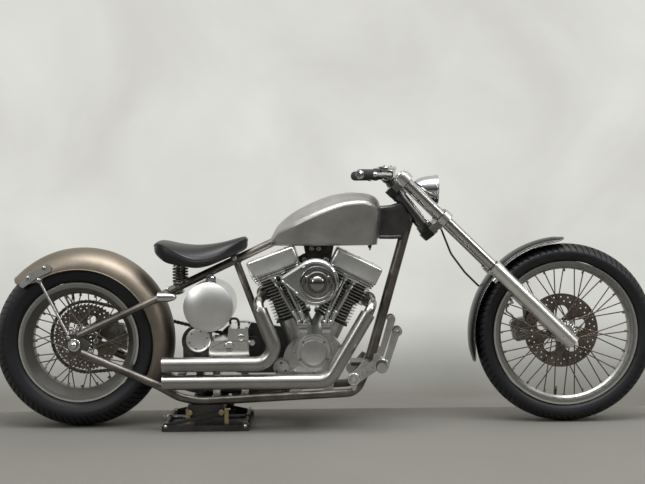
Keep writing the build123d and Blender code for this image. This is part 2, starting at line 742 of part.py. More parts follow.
# ---- controls, brakes and axles of the main frame ---------------------------------------
def foot_controls():
    """Forward foot controls: a plate on each rail's upsweep, a peg, and a toe pedal."""
    inner = -RAIL_Y - RAIL_R
    plate = slab([(90, 196), (104, 148), (116, 148), (124, 176), (222, 240), (222, 262), (204, 284),
                  (188, 286), (180, 258), (104, 212)], inner - 12, inner)
    ear_boss = across(195, 278, 10, inner - 18, inner)
    boss = across(109, 192, 23, inner - 16, inner)
    peg = across(211, 250, 19, -262, inner - 8)
    lever = slab([(203, 240), (236, 232), (286, 378), (258, 392), (222, 262)], -178, -166)
    toe = across(271, 383, 16, -250, -166)
    tie = slab([(104, 210), (135, 196), (175, 250), (150, 262)], inner, -RAIL_Y)
    right = plate + boss + ear_boss + peg + lever + toe + tie - rail(-1)
    return joined(right, mirror_y(right))


def rear_axle():
    """Rear axle with a nut at each end, outside the axle plates."""
    x, z = REAR_AXLE_X, REAR_TYRE_R
    end = STAY_Y + AXLE_PLATE_T / 2
    shape = across(x, z, AXLE_R, -end - 6, end + 6)
    for side in (-1, 1):
        low, high = sorted((side * end, side * (end + 16)))
        nut = Plane((x, low, z), x_dir=(1, 0, 0), z_dir=(0, 1, 0)) * \
            extrude(RegularPolygon(15, 6), amount=high - low)
        shape += nut
        collar = sorted((side * REAR_HUB_HALF + side * SEAM, side * (STAY_Y - AXLE_PLATE_T / 2)))
        shape += across(x, z, 15, *collar)
    return shape


def rear_caliper():
    """Brake caliper on the chain sprocket's inner rim, on a bracket from the left axle plate."""
    body = slab([(-868, 376), (-842, 388), (-806, 384), (-784, 344), (-790, 278), (-868, 308)],
                CHAIN_Y - 24, CHAIN_Y + 24)
    inner = STAY_Y - AXLE_PLATE_T / 2
    body += slab([(-915, 331), (-905, 356), (-840, 356), (-840, 312)], inner - 6, inner)
    room = across(REAR_AXLE_X, REAR_TYRE_R, pitch_radius(REAR_TEETH) + CHAIN_HALF_T + RUN_GAP,
                  CHAIN_Y - 12, CHAIN_Y + 12)
    return body - room


# ---- jack -------------------------------------------------------------------------------
def jack_base():
    """Base plate with turned-up rims, the folded scissor arms and the screw."""
    low_x = JACK_X - JACK_BASE_LENGTH / 2
    high_x = JACK_X + JACK_BASE_LENGTH / 2
    shape = block((low_x, -JACK_BASE_HALF, 0), (high_x, JACK_BASE_HALF, JACK_PLATE_T))
    for side in (-1, 1):
        edge = side * JACK_BASE_HALF
        low_y, high_y = sorted((edge, edge - side * 4))
        shape += block((low_x, low_y, 0), (high_x, high_y, 24))
        arm_y = side * (JACK_BASE_HALF - 16)
        for low_end, high_end in (((low_x + 16, 16), (JACK_X + 60, 62)),
                                  ((high_x - 16, 16), (JACK_X - 60, 62))):
            shift = 0 if low_end[0] < JACK_X else 6
            ends = (low_end, (low_end[0], low_end[1] + 14), (high_end[0], high_end[1] + 14), high_end)
            shape += slab(ends, arm_y - 3 + shift * -side, arm_y + 3 + shift * -side)
        shape += across(low_x + 14, 20, 7, *sorted((edge, edge - side * 30)))
        shape += across(high_x - 14, 20, 7, *sorted((edge, edge - side * 30)))
    shape += rod((low_x + 2, 0, 26), (high_x - 2, 0, 26), 8)
    for x in (low_x + 14, high_x - 14):
        shape += block((x - 8, -14, 0), (x + 8, 14, 36))
        shape += across(x, 26, 7, -JACK_BASE_HALF, JACK_BASE_HALF)
    return shape - jack_top()


def jack_top():
    """Lifting platform with deep sides and two cradles under the rails."""
    low_x = JACK_X - JACK_TOP_LENGTH / 2
    high_x = JACK_X + JACK_TOP_LENGTH / 2
    half = JACK_TOP_HALF
    shape = block((low_x, -half, JACK_TOP_Z - JACK_PLATE_T), (high_x, half, JACK_TOP_Z))
    for side in (-1, 1):
        low_y, high_y = sorted((side * half, side * (half - 5)))
        shape += block((low_x, low_y, 34), (high_x, high_y, JACK_TOP_Z))
        low_y, high_y = sorted((side * (half - 42), side * half))
        shape += block((low_x + 6, low_y, JACK_TOP_Z), (high_x - 6, high_y, JACK_TOP_Z + 12))
    return shape - rail(-1) - rail(1)


def side_stand():
    """Folded side stand on its pivot, lying back along the left rail."""
    place = (STAND_X, STAND_Y, STAND_Z)
    head = Plane(place, z_dir=STAND_AXIS) * Cylinder(15, 22)
    leg = bent([(STAND_X - 6, STAND_Y, STAND_Z), (STAND_X - 60, STAND_Y, STAND_Z + 1),
                (STAND_X - STAND_LENGTH, STAND_Y + 8, STAND_Z + 6)], STAND_R, 60)
    foot = block((STAND_X - STAND_LENGTH - 4, STAND_Y - 6, STAND_Z - 6),
                 (STAND_X - STAND_LENGTH + 22, STAND_Y + 26, STAND_Z + 12))
    pin = Plane(place, z_dir=STAND_AXIS) * Cylinder(STAND_PIN_R + STEM_FIT, 80)
    return head + leg + foot - pin


def stand_bracket():
    """Clevis on the left rail, with the side stand's pin."""
    plane = Plane((STAND_X, STAND_Y, STAND_Z), x_dir=(1, 0, 0), z_dir=STAND_AXIS)
    shape = Cylinder(STAND_PIN_R, 2 * STAND_EAR_OUT)
    for side in (-1, 1):
        shape += Pos(0, 0, side * 15) * Cylinder(15, 6)
        shape += Pos(0, 11, side * 15) * Box(30, 22, 6)
    shape += Pos(0, 29, 0) * Box(30, 14, 2 * STAND_EAR_OUT)
    shape += Pos(0, 38, -STAND_EAR_OUT + 6) * Box(30, 16, 12)
    return plane * shape


# ---- fork and steering ------------------------------------------------------------------
def tree(up, stem_back):
    """A fork tree: two leg clamps joined to the stem's boss by a plate."""
    plane = fork_plane(up)
    disc_r = FORK_TUBE_R + 12
    legs = [Pos(0, y) * Circle(disc_r) for y in (-FORK_Y, FORK_Y)]
    boss = Pos(stem_back, 0) * Circle(34)
    outline = make_hull(legs[0].edges() + legs[1].edges() + boss.edges())
    plate = Pos(0, 0, 0) * extrude(outline, amount=TREE_T / 2, both=True)
    holes = [Pos(0, y) * Cylinder(FORK_TUBE_R, 2 * TREE_T) for y in (-FORK_Y, FORK_Y)]
    return plane * (plate - holes)


def stem_back(up):
    """How far behind the legs the steering axis crosses a fork plane."""
    plane = fork_plane(up)
    origin = plane.origin
    lift = (Vector(HEAD_X, 0, HEAD_Z) - origin).dot(Vector(*FORK_DIR))
    rise = Vector(*HEAD_UP_DIR).dot(Vector(*FORK_DIR))
    point = Vector(*on_head(-lift / rise))
    return (point - origin).dot(Vector(*FORK_BACK))


def neck_room():
    """The space that the head tube and its cups turn in."""
    return rod(on_head(-HEAD_DOWN - SEAM), on_head(HEAD_UP + SEAM), HEAD_TUBE_R + 4 + RUN_GAP)


def lower_tree():
    """Lower fork tree with the steering stem, and the stem's bearing shoulder."""
    up = TOP_TREE_UP - TREE_GAP
    shape = tree(up, stem_back(up))
    low = on_head(-HEAD_DOWN - 46)
    shape += rod(low, on_head(-HEAD_DOWN - SEAM), 30)
    shape = shape - neck_room()
    shape += rod(low, on_head(HEAD_UP + 30), STEM_R)
    return shape


def top_tree():
    """Top fork tree with the handlebar's two risers."""
    shape = tree(TOP_TREE_UP, stem_back(TOP_TREE_UP))
    shape += rod(on_head(HEAD_UP + SEAM), on_head(HEAD_UP + 30), 30)
    shape = shape - neck_room()
    for y in (-RISER_Y, RISER_Y):
        foot = on_fork(TOP_TREE_UP + TREE_T / 2 - 2, y, 46)
        shape += rod(foot, (BAR_MID_X, y, BAR_MID_Z), 15)
        shape += across(BAR_MID_X, BAR_MID_Z, 22, y - 14, y + 14)
    return shape - bar() - rod(on_head(0), on_head(HEAD_UP + 40), STEM_R + STEM_FIT)


def bar():
    """The handlebar's tube."""
    points = [
        (BAR_END_X, -BAR_END_Y, BAR_END_Z), (205, -250, BAR_END_Z), (BAR_MID_X, -120, BAR_MID_Z),
        (BAR_MID_X, 120, BAR_MID_Z), (205, 250, BAR_END_Z), (BAR_END_X, BAR_END_Y, BAR_END_Z),
    ]
    return bent(points, BAR_R, [110, 110, 110, 110])


def grips():
    """Rubber grips over both ends of the handlebar."""
    end = Vector(BAR_END_X, -BAR_END_Y, BAR_END_Z)
    along = (Vector(205, -250, BAR_END_Z) - end).normalized()
    start = end - along * 4
    stop = end + along * GRIP_LENGTH
    inner = end - along * 0.01
    grip = rod(tuple(start), tuple(stop), GRIP_R) - rod(tuple(inner), tuple(stop + along), BAR_R)
    return joined(grip, mirror_y(grip))


def hand_controls():
    """Clamped perch, fluid reservoir and lever on each side of the bar."""
    end = Vector(BAR_END_X, -BAR_END_Y, BAR_END_Z)
    along = (Vector(205, -250, BAR_END_Z) - end).normalized()
    front = Vector(-along.Y, along.X, 0)
    if front.X < 0:
        front = front * -1
    clamp_at = end + along * (GRIP_LENGTH + 16)
    clamp = rod(tuple(clamp_at - along * 11), tuple(clamp_at + along * 11), 20)
    frame_plane = Plane(tuple(clamp_at), x_dir=along, z_dir=(0, 0, 1))
    body = frame_plane * (Pos(16, -RESERVOIR_OUT, 4) * Box(62, 34, 30))
    lid = frame_plane * (Pos(16, -RESERVOIR_OUT, 24) * Box(66, 38, 10))
    pivot = clamp_at + front * 50 + along * 4
    root = clamp_at + front * 26 + along * 4
    arm = rod(tuple(root), tuple(pivot), 9)
    tip = end + front * 46 + along * 24
    lever = rod(tuple(pivot), tuple(tip), 6) + Pos(*tuple(tip)) * Sphere(9)
    boss = clamp_at + front * 30 + along * MIRROR_IN
    boss_top = boss + Vector(0, 0, MIRROR_BOSS_UP)
    foot = rod(tuple(boss - Vector(0, 0, 8)), tuple(boss_top), 10)
    web = rod(tuple(clamp_at + front * 30 + along * 30), tuple(boss), 7)
    grip_room = rod(tuple(end - along * 6), tuple(end + along * (GRIP_LENGTH + SEAM)), GRIP_R + SEAM)
    right = clamp + body + lid + arm + lever + foot + web - bar() - grip_room
    floor = boss_top - Vector(0, 0, MIRROR_HOLE_DEPTH)
    right -= rod(tuple(floor), tuple(boss_top + Vector(0, 0, 1)), MIRROR_HOLE_R)
    return joined(right, mirror_y(right))


def fork_tubes():
    """Bright upper tubes with chrome clamps' caps at the top."""
    top = TOP_TREE_UP + TREE_T / 2 + 12
    low = SLIDER_LENGTH - 60
    tube = rod(on_fork(low, -FORK_Y), on_fork(top, -FORK_Y), FORK_TUBE_R)
    tube += rod(on_fork(TOP_TREE_UP + TREE_T / 2, -FORK_Y), on_fork(top, -FORK_Y), FORK_TUBE_R + 5)
    return joined(tube, mirror_y(tube))


def fork_slider(side):
    """One lower leg with its fender lug. The axle passes the left one and ends in the right."""
    leg = rod(on_fork(-SLIDER_END, -FORK_Y), on_fork(SLIDER_LENGTH, -FORK_Y), SLIDER_R)
    lug = on_fork(FENDER_LUG_UP, -FORK_Y, 42)
    leg += rod(on_fork(FENDER_LUG_UP, -FORK_Y, 0), lug, 11)
    leg -= rod(on_fork(SLIDER_LENGTH - 60, -FORK_Y), on_fork(SLIDER_LENGTH + 9, -FORK_Y), FORK_TUBE_R)
    outer = -FORK_Y - SLIDER_R + (AXLE_BLIND if side < 0 else -1)
    leg -= across(FRONT_AXLE_X, FRONT_TYRE_R, AXLE_R + AXLE_FIT, outer, -FORK_Y + 60)
    return leg if side < 0 else mirror_y(leg)


def fork_sliders():
    """Both lower legs."""
    return joined(fork_slider(-1), fork_slider(1))


def front_axle():
    """Front axle with its spacers, screwed into the right leg, with its head on the left."""
    x, z = FRONT_AXLE_X, FRONT_TYRE_R
    end = FORK_Y + SLIDER_R
    shape = across(x, z, AXLE_R, -end + AXLE_BLIND + SEAM, end + 4)
    head = Plane((x, end, z), x_dir=(1, 0, 0), z_dir=(0, 1, 0))
    shape += head * extrude(RegularPolygon(15, 6), amount=14)
    for side in (-1, 1):
        hub_end = side * (FRONT_HUB_HALF + SEAM)
        shape += across(x, z, 14, *sorted((hub_end, side * (FORK_Y - SLIDER_R))))
    return shape


def front_fender_outer(inset=0.0):
    """Front fender section: a low crown with rolled edges, as radius and y."""
    half = FRONT_FENDER_HALF - inset
    edge = Polyline((FRONT_FENDER_SKIRT_R + 6, half), (FRONT_FENDER_SKIRT_R, half),
                    (FRONT_FENDER_SKIRT_R, -half), (FRONT_FENDER_SKIRT_R + 6, -half))
    crown = ThreePointArc((FRONT_FENDER_SKIRT_R + 6, -half), (FRONT_FENDER_R - inset, 0),
                          (FRONT_FENDER_SKIRT_R + 6, half))
    return make_face(edge + crown)


def front_fender():
    """Narrow fender on two stays bolted to the sliders' lugs."""
    x, z = FRONT_AXLE_X, FRONT_TYRE_R
    arc = FRONT_FENDER_TO - FRONT_FENDER_FROM
    outer = swept_round(x, z, front_fender_outer(), FRONT_FENDER_FROM, arc)
    inner = swept_round(x, z, front_fender_outer(FENDER_T), FRONT_FENDER_FROM - 5, arc + 10)
    bore = across(x, z, FRONT_FENDER_SKIRT_R + 0.5, -FRONT_FENDER_HALF + FENDER_T,
                  FRONT_FENDER_HALF - FENDER_T)
    shell = outer - inner - bore
    lug = on_fork(FENDER_LUG_UP, -FORK_Y, 34)
    arm = rod((lug[0], -FORK_Y, lug[2]), (lug[0], -FRONT_FENDER_HALF + 1, lug[2]), 8)
    strap = slab([(lug[0] - 12, lug[2] - 16), (lug[0] + 14, lug[2] - 8), (lug[0] + 20, lug[2] + 12),
                  (lug[0] - 4, lug[2] + 14)], -FRONT_FENDER_HALF - 4, -FRONT_FENDER_HALF)
    stay = arm + strap
    stay = stay + mirror_y(stay)
    return (shell + stay) - fork_sliders()


def headlight():
    """Bullet headlight on its bracket from the upper fork tree."""
    x, z, r = LIGHT_X, LIGHT_Z, LIGHT_R
    face = Plane((x, 0, z), x_dir=(-1, 0, 0), z_dir=(0, -1, 0))
    bezel, rim_step = LIGHT_BEZEL, r - 3
    outline = Polyline((0, 0), (0, r), (bezel, r), (bezel, rim_step)) + \
        ThreePointArc((bezel, rim_step), (LIGHT_DEPTH * 0.66, r * 0.7), (LIGHT_DEPTH, 7)) + \
        Polyline((LIGHT_DEPTH, 7), (LIGHT_DEPTH, 0), (0, 0))
    shell = revolve(face * make_face(outline), axis=Axis((x, 0, z), (-1, 0, 0)))
    bracket = rod((x - 62, 0, z - 30), on_fork(TOP_TREE_UP - 40, 0, -2), 11)
    return shell + bracket - top_tree() - lower_tree()


def caliper_point(up, back=0.0):
    """A point on the front caliper: along its length and back from its middle."""
    a = radians(CALIPER_TURN)
    x = CALIPER_X - back * cos(a) + up * sin(a)
    return (x, CALIPER_Y, CALIPER_Z + back * sin(a) + up * cos(a))


def front_caliper():
    """Brake caliper behind the left leg, straddling the disc."""
    body = Pos(*caliper_point(0)) * Rot(0, CALIPER_TURN, 0) * \
        Box(CALIPER_WIDTH, CALIPER_DEEP, CALIPER_LENGTH)
    for up, leg_up in ((46, 168), (-22, 108)):
        lug = caliper_point(up, -10)
        body += rod((lug[0], FORK_Y - 16, lug[2]), on_fork(leg_up, FORK_Y - 16), 10)
    room = across(FRONT_AXLE_X, FRONT_TYRE_R, DISC_R + RUN_GAP, DISC_Y - 4.5, DISC_Y + 4.5)
    return body - room - fork_sliders()


def brake_hose():
    """Front brake hose from the lower tree to the caliper."""
    top = on_fork(TOP_TREE_UP - TREE_GAP - TREE_T / 2 - 2 * SEAM, 30, 24)
    end = caliper_point(CALIPER_LENGTH / 2 + SEAM)
    points = [
        top,
        (500, 44, 655),
        (556, 60, 580),
        (616, 70, 520),
        (688, 72, 486),
        (end[0] - 1, end[1] + 2, end[2] + 14),
        end,
    ]
    path = FilletPolyline(*points, radius=[90, 110, 110, 110, 12])
    return sweep(Plane(origin=path @ 0, z_dir=path % 0) * Circle(4), path=path)


# ---- wheels -----------------------------------------------------------------------------


def tyre(x, radius, half, rim_r, rim_half):
    """A solid tyre, bead to bead, with a round crown."""
    seat_r = rim_r - BEAD_DEPTH + SEAM
    bead = rim_half - RIM_LIP - SEAM
    wide_r = rim_r + (radius - rim_r) * 0.42
    outline = Polyline((rim_r + 2, -bead), (seat_r, -bead), (seat_r, bead), (rim_r + 2, bead)) + \
        ThreePointArc((rim_r + 2, bead), (wide_r - 14, half - 3), (wide_r + 10, half)) + \
        ThreePointArc((wide_r + 10, half), (radius, 0), (wide_r + 10, -half)) + \
        ThreePointArc((wide_r + 10, -half), (wide_r - 14, -half + 3), (rim_r + 2, -bead))
    return swept_round(x, radius, make_face(outline))


def rim(x, z, rim_r, rim_half, depth):
    """A rolled rim with a dropped centre and two lips."""
    seat_r = rim_r - BEAD_DEPTH
    lip = rim_half - RIM_LIP
    low = rim_r - depth
    outline = Polyline(
        (rim_r, rim_half), (rim_r, lip), (seat_r, lip), (seat_r, -lip), (rim_r, -lip),
        (rim_r, -rim_half), (seat_r - 4, -rim_half), (low + 8, -lip * 0.55), (low, -lip * 0.32),
        (low, lip * 0.32), (low + 8, lip * 0.55), (seat_r - 4, rim_half), (rim_r, rim_half),
    )
    return swept_round(x, z, make_face(outline))


def spoked_hub(x, z, half, flange_r, flange_y, barrel_r, reach):
    """A hub with two flanges and crossed wire spokes that run out to the rim."""
    hub = across(x, z, barrel_r, -half, half)
    for side in (-1, 1):
        hub += across(x, z, flange_r, *sorted((side * flange_y, side * (flange_y - 6))))
    spokes = []
    per_side = SPOKE_COUNT // 2
    for k in range(SPOKE_COUNT):
        side = -1 if k % 2 else 1
        number = k // 2
        lean = 68.0 if number % 2 else -68.0
        outer = 360.0 * (number + (0.5 if side < 0 else 0.0)) / per_side
        inner = outer + lean
        near = (x + (flange_r - 6) * cos(radians(inner)), side * (flange_y - 3),
                z + (flange_r - 6) * sin(radians(inner)))
        tip = reach + 2 * SPOKE_R
        far = (x + tip * cos(radians(outer)), side * 6.0, z + tip * sin(radians(outer)))
        spokes.append(rod(near, far, SPOKE_R))
    inside = across(x, z, reach, -half, half)
    return (hub + spokes) & (inside - across(x, z, AXLE_R + AXLE_FIT, -half - 1, half + 1))


def rear_hub():
    """Rear hub with its spokes."""
    reach = REAR_RIM_R - REAR_RIM_DEPTH - SEAM
    return spoked_hub(REAR_AXLE_X, REAR_TYRE_R, REAR_HUB_HALF, 54, 50, 36, reach)


def front_hub():
    """Front hub with its spokes."""
    reach = FRONT_RIM_R - FRONT_RIM_DEPTH - SEAM
    return spoked_hub(FRONT_AXLE_X, FRONT_TYRE_R, FRONT_HUB_HALF, 42, 36, 26, reach)


def rear_sprocket():
    """Drilled sprocket that is also the rear brake disc, on its carrier."""
    x, z = REAR_AXLE_X, REAR_TYRE_R
    tip = pitch_radius(REAR_TEETH) - CHAIN_HALF_T - CHAIN_GAP
    root = tip - 5.0
    points = []
    for k in range(REAR_TEETH):
        for share, radius in ((0.0, root), (0.28, root), (0.42, tip), (0.72, tip)):
            a = radians(360.0 * (k + share) / REAR_TEETH)
            points.append((x + radius * cos(a), z + radius * sin(a)))
    half = SPROCKET_T / 2
    disc = slab(points, CHAIN_Y - half, CHAIN_Y + half)
    cuts = []
    for k in range(5):
        a = radians(72.0 * k)
        cuts.append(across(x + 68 * cos(a), z + 68 * sin(a), 20, CHAIN_Y - 9, CHAIN_Y + 9))
    for ring_r, count in ((104.0, 30), (116.0, 30)):
        for k in range(count):
            a = radians(360.0 * (k + (0.5 if ring_r > 110 else 0.0)) / count)
            cuts.append(across(x + ring_r * cos(a), z + ring_r * sin(a), 3, CHAIN_Y - 9, CHAIN_Y + 9))
    disc = disc - cuts
    disc += across(x, z, 42, REAR_HUB_HALF, CHAIN_Y + half)
    return disc - across(x, z, 15 + RUN_GAP, REAR_HUB_HALF - 1, CHAIN_Y + 20)


def front_disc():
    """Drilled front brake disc on the hub's left face."""
    x, z = FRONT_AXLE_X, FRONT_TYRE_R
    disc = across(x, z, DISC_R, FRONT_HUB_HALF, FRONT_HUB_HALF + DISC_T)
    low, high = FRONT_HUB_HALF - 1, FRONT_HUB_HALF + DISC_T + 1
    cuts = [across(x, z, 14 + RUN_GAP, low, high)]
    for k in range(5):
        a = radians(72.0 * k + 18)
        cuts.append(across(x + 72 * cos(a), z + 72 * sin(a), 27, low, high))
    for ring_r, count in ((116.0, 30), (132.0, 30)):
        for k in range(count):
            a = radians(360.0 * (k + (0.5 if ring_r > 120 else 0.0)) / count)
            cuts.append(across(x + ring_r * cos(a), z + ring_r * sin(a), 3, low, high))
    return disc - cuts


NODES = {
    "neck": neck,
    "backbone": backbone,
    "downtube": downtube,
    "seat_post": seat_post,
    "right_rail": lambda: rail(-1),
    "left_rail": lambda: rail(1),
    "upper_stays": upper_stays,
    "rear_fender": rear_fender,
    "fender_struts": fender_struts,
    "fuel_tank": fuel_tank,
    "seat": seat,
    "seat_springs": seat_springs,
    "oil_tank": oil_tank,
    "battery_box": battery_box,
    "crankcase": crankcase,
    "cylinders": cylinders,
    "rocker_boxes": rocker_boxes,
    "pushrod_tubes": pushrod_tubes,
    "carburettor": carburettor,
    "air_cleaner": air_cleaner,
    "transmission": transmission,
    "primary_cover": primary_cover,
    "top_motor_mount": top_motor_mount,
    "upper_exhaust": upper_exhaust,
    "lower_exhaust": lower_exhaust,
    "drive_chain": drive_chain,
    "foot_controls": foot_controls,
    "rear_axle": rear_axle,
    "rear_caliper": rear_caliper,
    "jack_base": jack_base,
    "jack_top": jack_top,
    "side_stand": side_stand,
    "lower_tree": lower_tree,
    "top_tree": top_tree,
    "fork_tubes": fork_tubes,
    "fork_sliders": fork_sliders,
    "front_axle": front_axle,
    "front_fender": front_fender,
    "headlight": headlight,
    "handlebar": bar,
    "grips": grips,
    "hand_controls": hand_controls,
    "front_caliper": front_caliper,
    "brake_hose": brake_hose,
    "rear_tyre": lambda: tyre(REAR_AXLE_X, REAR_TYRE_R, REAR_TYRE_HALF, REAR_RIM_R, REAR_RIM_HALF),
    "rear_rim": lambda: rim(REAR_AXLE_X, REAR_TYRE_R, REAR_RIM_R, REAR_RIM_HALF, REAR_RIM_DEPTH),
    "rear_hub": rear_hub,
    "rear_sprocket": rear_sprocket,
    "front_tyre": lambda: tyre(FRONT_AXLE_X, FRONT_TYRE_R, FRONT_TYRE_HALF, FRONT_RIM_R,
                               FRONT_RIM_HALF),
    "front_rim": lambda: rim(FRONT_AXLE_X, FRONT_TYRE_R, FRONT_RIM_R, FRONT_RIM_HALF,
                             FRONT_RIM_DEPTH),
    "front_hub": front_hub,
    "front_disc": front_disc,
}

os.makedirs("parts", exist_ok=True)
for name, build in NODES.items():
    export_step(build(), os.path.join("parts", name + ".step"))
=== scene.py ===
"""Looks of the rigid-frame chopper, built around its frame. Metres, +X forward, +Y left, +Z up."""
import math

import bmesh
import bpy
from mathutils import Matrix, Vector


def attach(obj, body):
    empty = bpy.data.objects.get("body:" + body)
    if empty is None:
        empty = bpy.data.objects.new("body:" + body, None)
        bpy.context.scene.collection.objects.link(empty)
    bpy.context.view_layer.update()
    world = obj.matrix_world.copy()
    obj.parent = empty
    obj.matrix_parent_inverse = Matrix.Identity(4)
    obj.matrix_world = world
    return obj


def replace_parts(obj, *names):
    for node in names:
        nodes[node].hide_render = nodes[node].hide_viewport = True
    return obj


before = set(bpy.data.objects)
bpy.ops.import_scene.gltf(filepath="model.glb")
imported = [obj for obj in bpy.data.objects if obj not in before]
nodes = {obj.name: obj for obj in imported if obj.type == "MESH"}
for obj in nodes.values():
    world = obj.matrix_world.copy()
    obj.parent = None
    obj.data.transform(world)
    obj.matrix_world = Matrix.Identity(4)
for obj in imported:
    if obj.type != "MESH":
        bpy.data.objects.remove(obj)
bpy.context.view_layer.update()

# ---- Room and camera ----
# A workshop corner: white paper hung behind and laid out on a painted floor, a broad soft lamp
# overhead, a smaller one to each side, and light from the room. The paper is clear from behind.
MM = 0.001
MERGE = 0.01 * MM
CAMERA_AT = (-0.005, -4.8, 0.9296)
CAMERA_DOWN = 0.046137
CAMERA_ROLL = 0.009857
FOCAL_PIXELS = 1232.68
PICTURE_WIDE = 645
SENSOR = 36.0
WALL_Y, WALL_HIGH = 0.62, 5.0
PAPER_HIGH = 1.25
FOOT_Y, FOOT_UP = 0.29, 0.0006
ROOM_HALF = 9.0

ahead = Vector((0, math.cos(CAMERA_DOWN), -math.sin(CAMERA_DOWN)))
level_up = Vector((0, math.sin(CAMERA_DOWN), math.cos(CAMERA_DOWN)))
level_right = Vector((1, 0, 0))
right_way = math.cos(CAMERA_ROLL) * level_right - math.sin(CAMERA_ROLL) * level_up
up_way = math.sin(CAMERA_ROLL) * level_right + math.cos(CAMERA_ROLL) * level_up
lens = bpy.data.cameras.new("camera")
lens.sensor_width = SENSOR
lens.lens = FOCAL_PIXELS * SENSOR / PICTURE_WIDE


def placed(name, data):
    """A new object in the scene."""
    thing = bpy.data.objects.new(name, data)
    bpy.context.scene.collection.objects.link(thing)
    return thing


camera = placed("camera", lens)
turn = Matrix((right_way, up_way, -ahead)).transposed().to_4x4()
camera.matrix_world = Matrix.Translation(CAMERA_AT) @ turn
bpy.context.scene.camera = camera
bpy.context.scene.view_settings.view_transform = "Standard"


def fill(node, values=None, links=None):
    """Sets a node's inputs by name or number: values, and links from nodes or their sockets."""
    for key, value in (values or {}).items():
        node.inputs[key].default_value = value
    for key, source in (links or {}).items():
        if isinstance(source, bpy.types.Node):
            source = next(socket for socket in source.outputs if socket.enabled)
        node.id_data.links.new(source, node.inputs[key])
    return node


def adder(tree, prefix=""):
    """A function that adds a node to a tree: its kind, its inputs as in fill, its settings."""
    def add(kind, values=None, links=None, **settings):
        node = tree.nodes.new(prefix + kind)
        for key, value in settings.items():
            setattr(node, key, value)
        return fill(node, values, links)
    return add


def shader(name):
    """A new material, its shader, and its adder of nodes."""
    finish = bpy.data.materials.new(name)
    finish.use_nodes = True
    add_any = adder(finish.node_tree, "ShaderNode")
    place = add_any("TexCoord").outputs["Object"]

    def add(kind, values=None, links=None, **settings):
        """One node. Textures and the like read the place on the piece, unless given another."""
        if kind.startswith("Tex") or kind in ("SeparateXYZ", "Mapping"):
            links = {"Vector": place, **(links or {})}
        return add_any(kind, values, links, **settings)

    return finish, finish.node_tree.nodes["Principled BSDF"], add


def paper(name, light, dark, scale):
    """A matt, faintly uneven painted or paper surface."""
    finish, main, add = shader(name)
    cloud = add("TexNoise", {"Scale": scale, "Detail": 4.0})
    tone = add("Mix", {6: dark, 7: light}, {0: cloud}, data_type="RGBA")
    fill(main, {"Roughness": 0.85, "Specular IOR Level": 0.2}, {"Base Color": tone})
    return finish


def creased_paper():
    """White paper with soft creases painted on as lighter lines, which glows with its own colour to
    the camera and to metal, with painted shade darkening it towards the floor.
    """
    finish, main, add = shader("wall_paper")
    cloud = add("TexNoise", {"Scale": 1.6, "Detail": 5.0, "Distortion": 0.6})
    # The creases are painted into the colour as lighter lines: painted highlight on the folds.
    crease = add("TexNoise",
        {"Scale": 1.1, "Detail": 3.0, "Distortion": 1.2}, noise_type="RIDGED_MULTIFRACTAL")
    fold = add("MapRange", {"From Min": 1.0, "From Max": 2.6, "To Max": 0.45}, {"Value": crease})
    mixed = add("Math", links={0: cloud, 1: fold}, operation="ADD")
    tone = add("Mix",
        {6: (0.53, 0.53, 0.485, 1), 7: (0.86, 0.86, 0.815, 1)}, {0: mixed}, data_type="RGBA")
    # Painted shade: the paper is darker towards the floor, where the low wall lies in shadow.
    split = add("SeparateXYZ")
    height = add("MapRange", {"From Max": PAPER_HIGH}, {"Value": split.outputs["Z"]})
    shade = add("ValToRGB", links={"Fac": height})
    shade.color_ramp.elements[0].color = (0.34, 0.33, 0.31, 1)
    for place_up, value in ((0.10, 0.46), (0.20, 0.70), (0.30, 0.92), (0.70, 1.0)):
        shade.color_ramp.elements.new(place_up).color = (value, value, value, 1)
    shaded = add("Mix", {0: 1.0}, {6: tone, 7: shade}, data_type="RGBA", blend_type="MULTIPLY")
    glow = add("Emission", {"Strength": 1.0}, {"Color": shaded})
    path = add("LightPath")
    seen = add("Math", links={0: path.outputs["Is Camera Ray"], 1: path.outputs["Is Glossy Ray"]},
        operation="MAXIMUM")
    seen = add(
        "Math", links={0: seen, 1: path.outputs["Is Transmission Ray"]}, operation="MAXIMUM")
    pick = add("MixShader", links={0: seen, 1: main, 2: glow})
    open_back = add("BsdfTransparent")
    side_on = add("NewGeometry")
    one_sided = add("MixShader", links={0: side_on.outputs["Backfacing"], 1: pick, 2: open_back})
    fill(finish.node_tree.nodes["Material Output"], links={"Surface": one_sided})
    fill(main, {"Roughness": 0.85}, {"Base Color": tone})
    return finish


def sheet_of_room(name, near, far, low, high, finish):
    """A flat part of the room, from one Y and height to another."""
    mesh = bpy.data.meshes.new(name)
    mesh.from_pydata([(-ROOM_HALF, near, low), (ROOM_HALF, near, low),
        (ROOM_HALF, far, high), (-ROOM_HALF, far, high)], [], [(0, 1, 2, 3)])
    mesh.materials.append(finish)
    placed(name, mesh)


sheet_of_room("floor", -ROOM_HALF,
    ROOM_HALF, 0, 0, paper("floor_paint", (0.205, 0.20, 0.182, 1), (0.17, 0.165, 0.148, 1), 1.3))
white_paper = creased_paper()
sheet_of_room("wall", WALL_Y, WALL_Y, 0, WALL_HIGH, white_paper)
sheet_of_room("paper_foot", FOOT_Y, WALL_Y, FOOT_UP, FOOT_UP, white_paper)

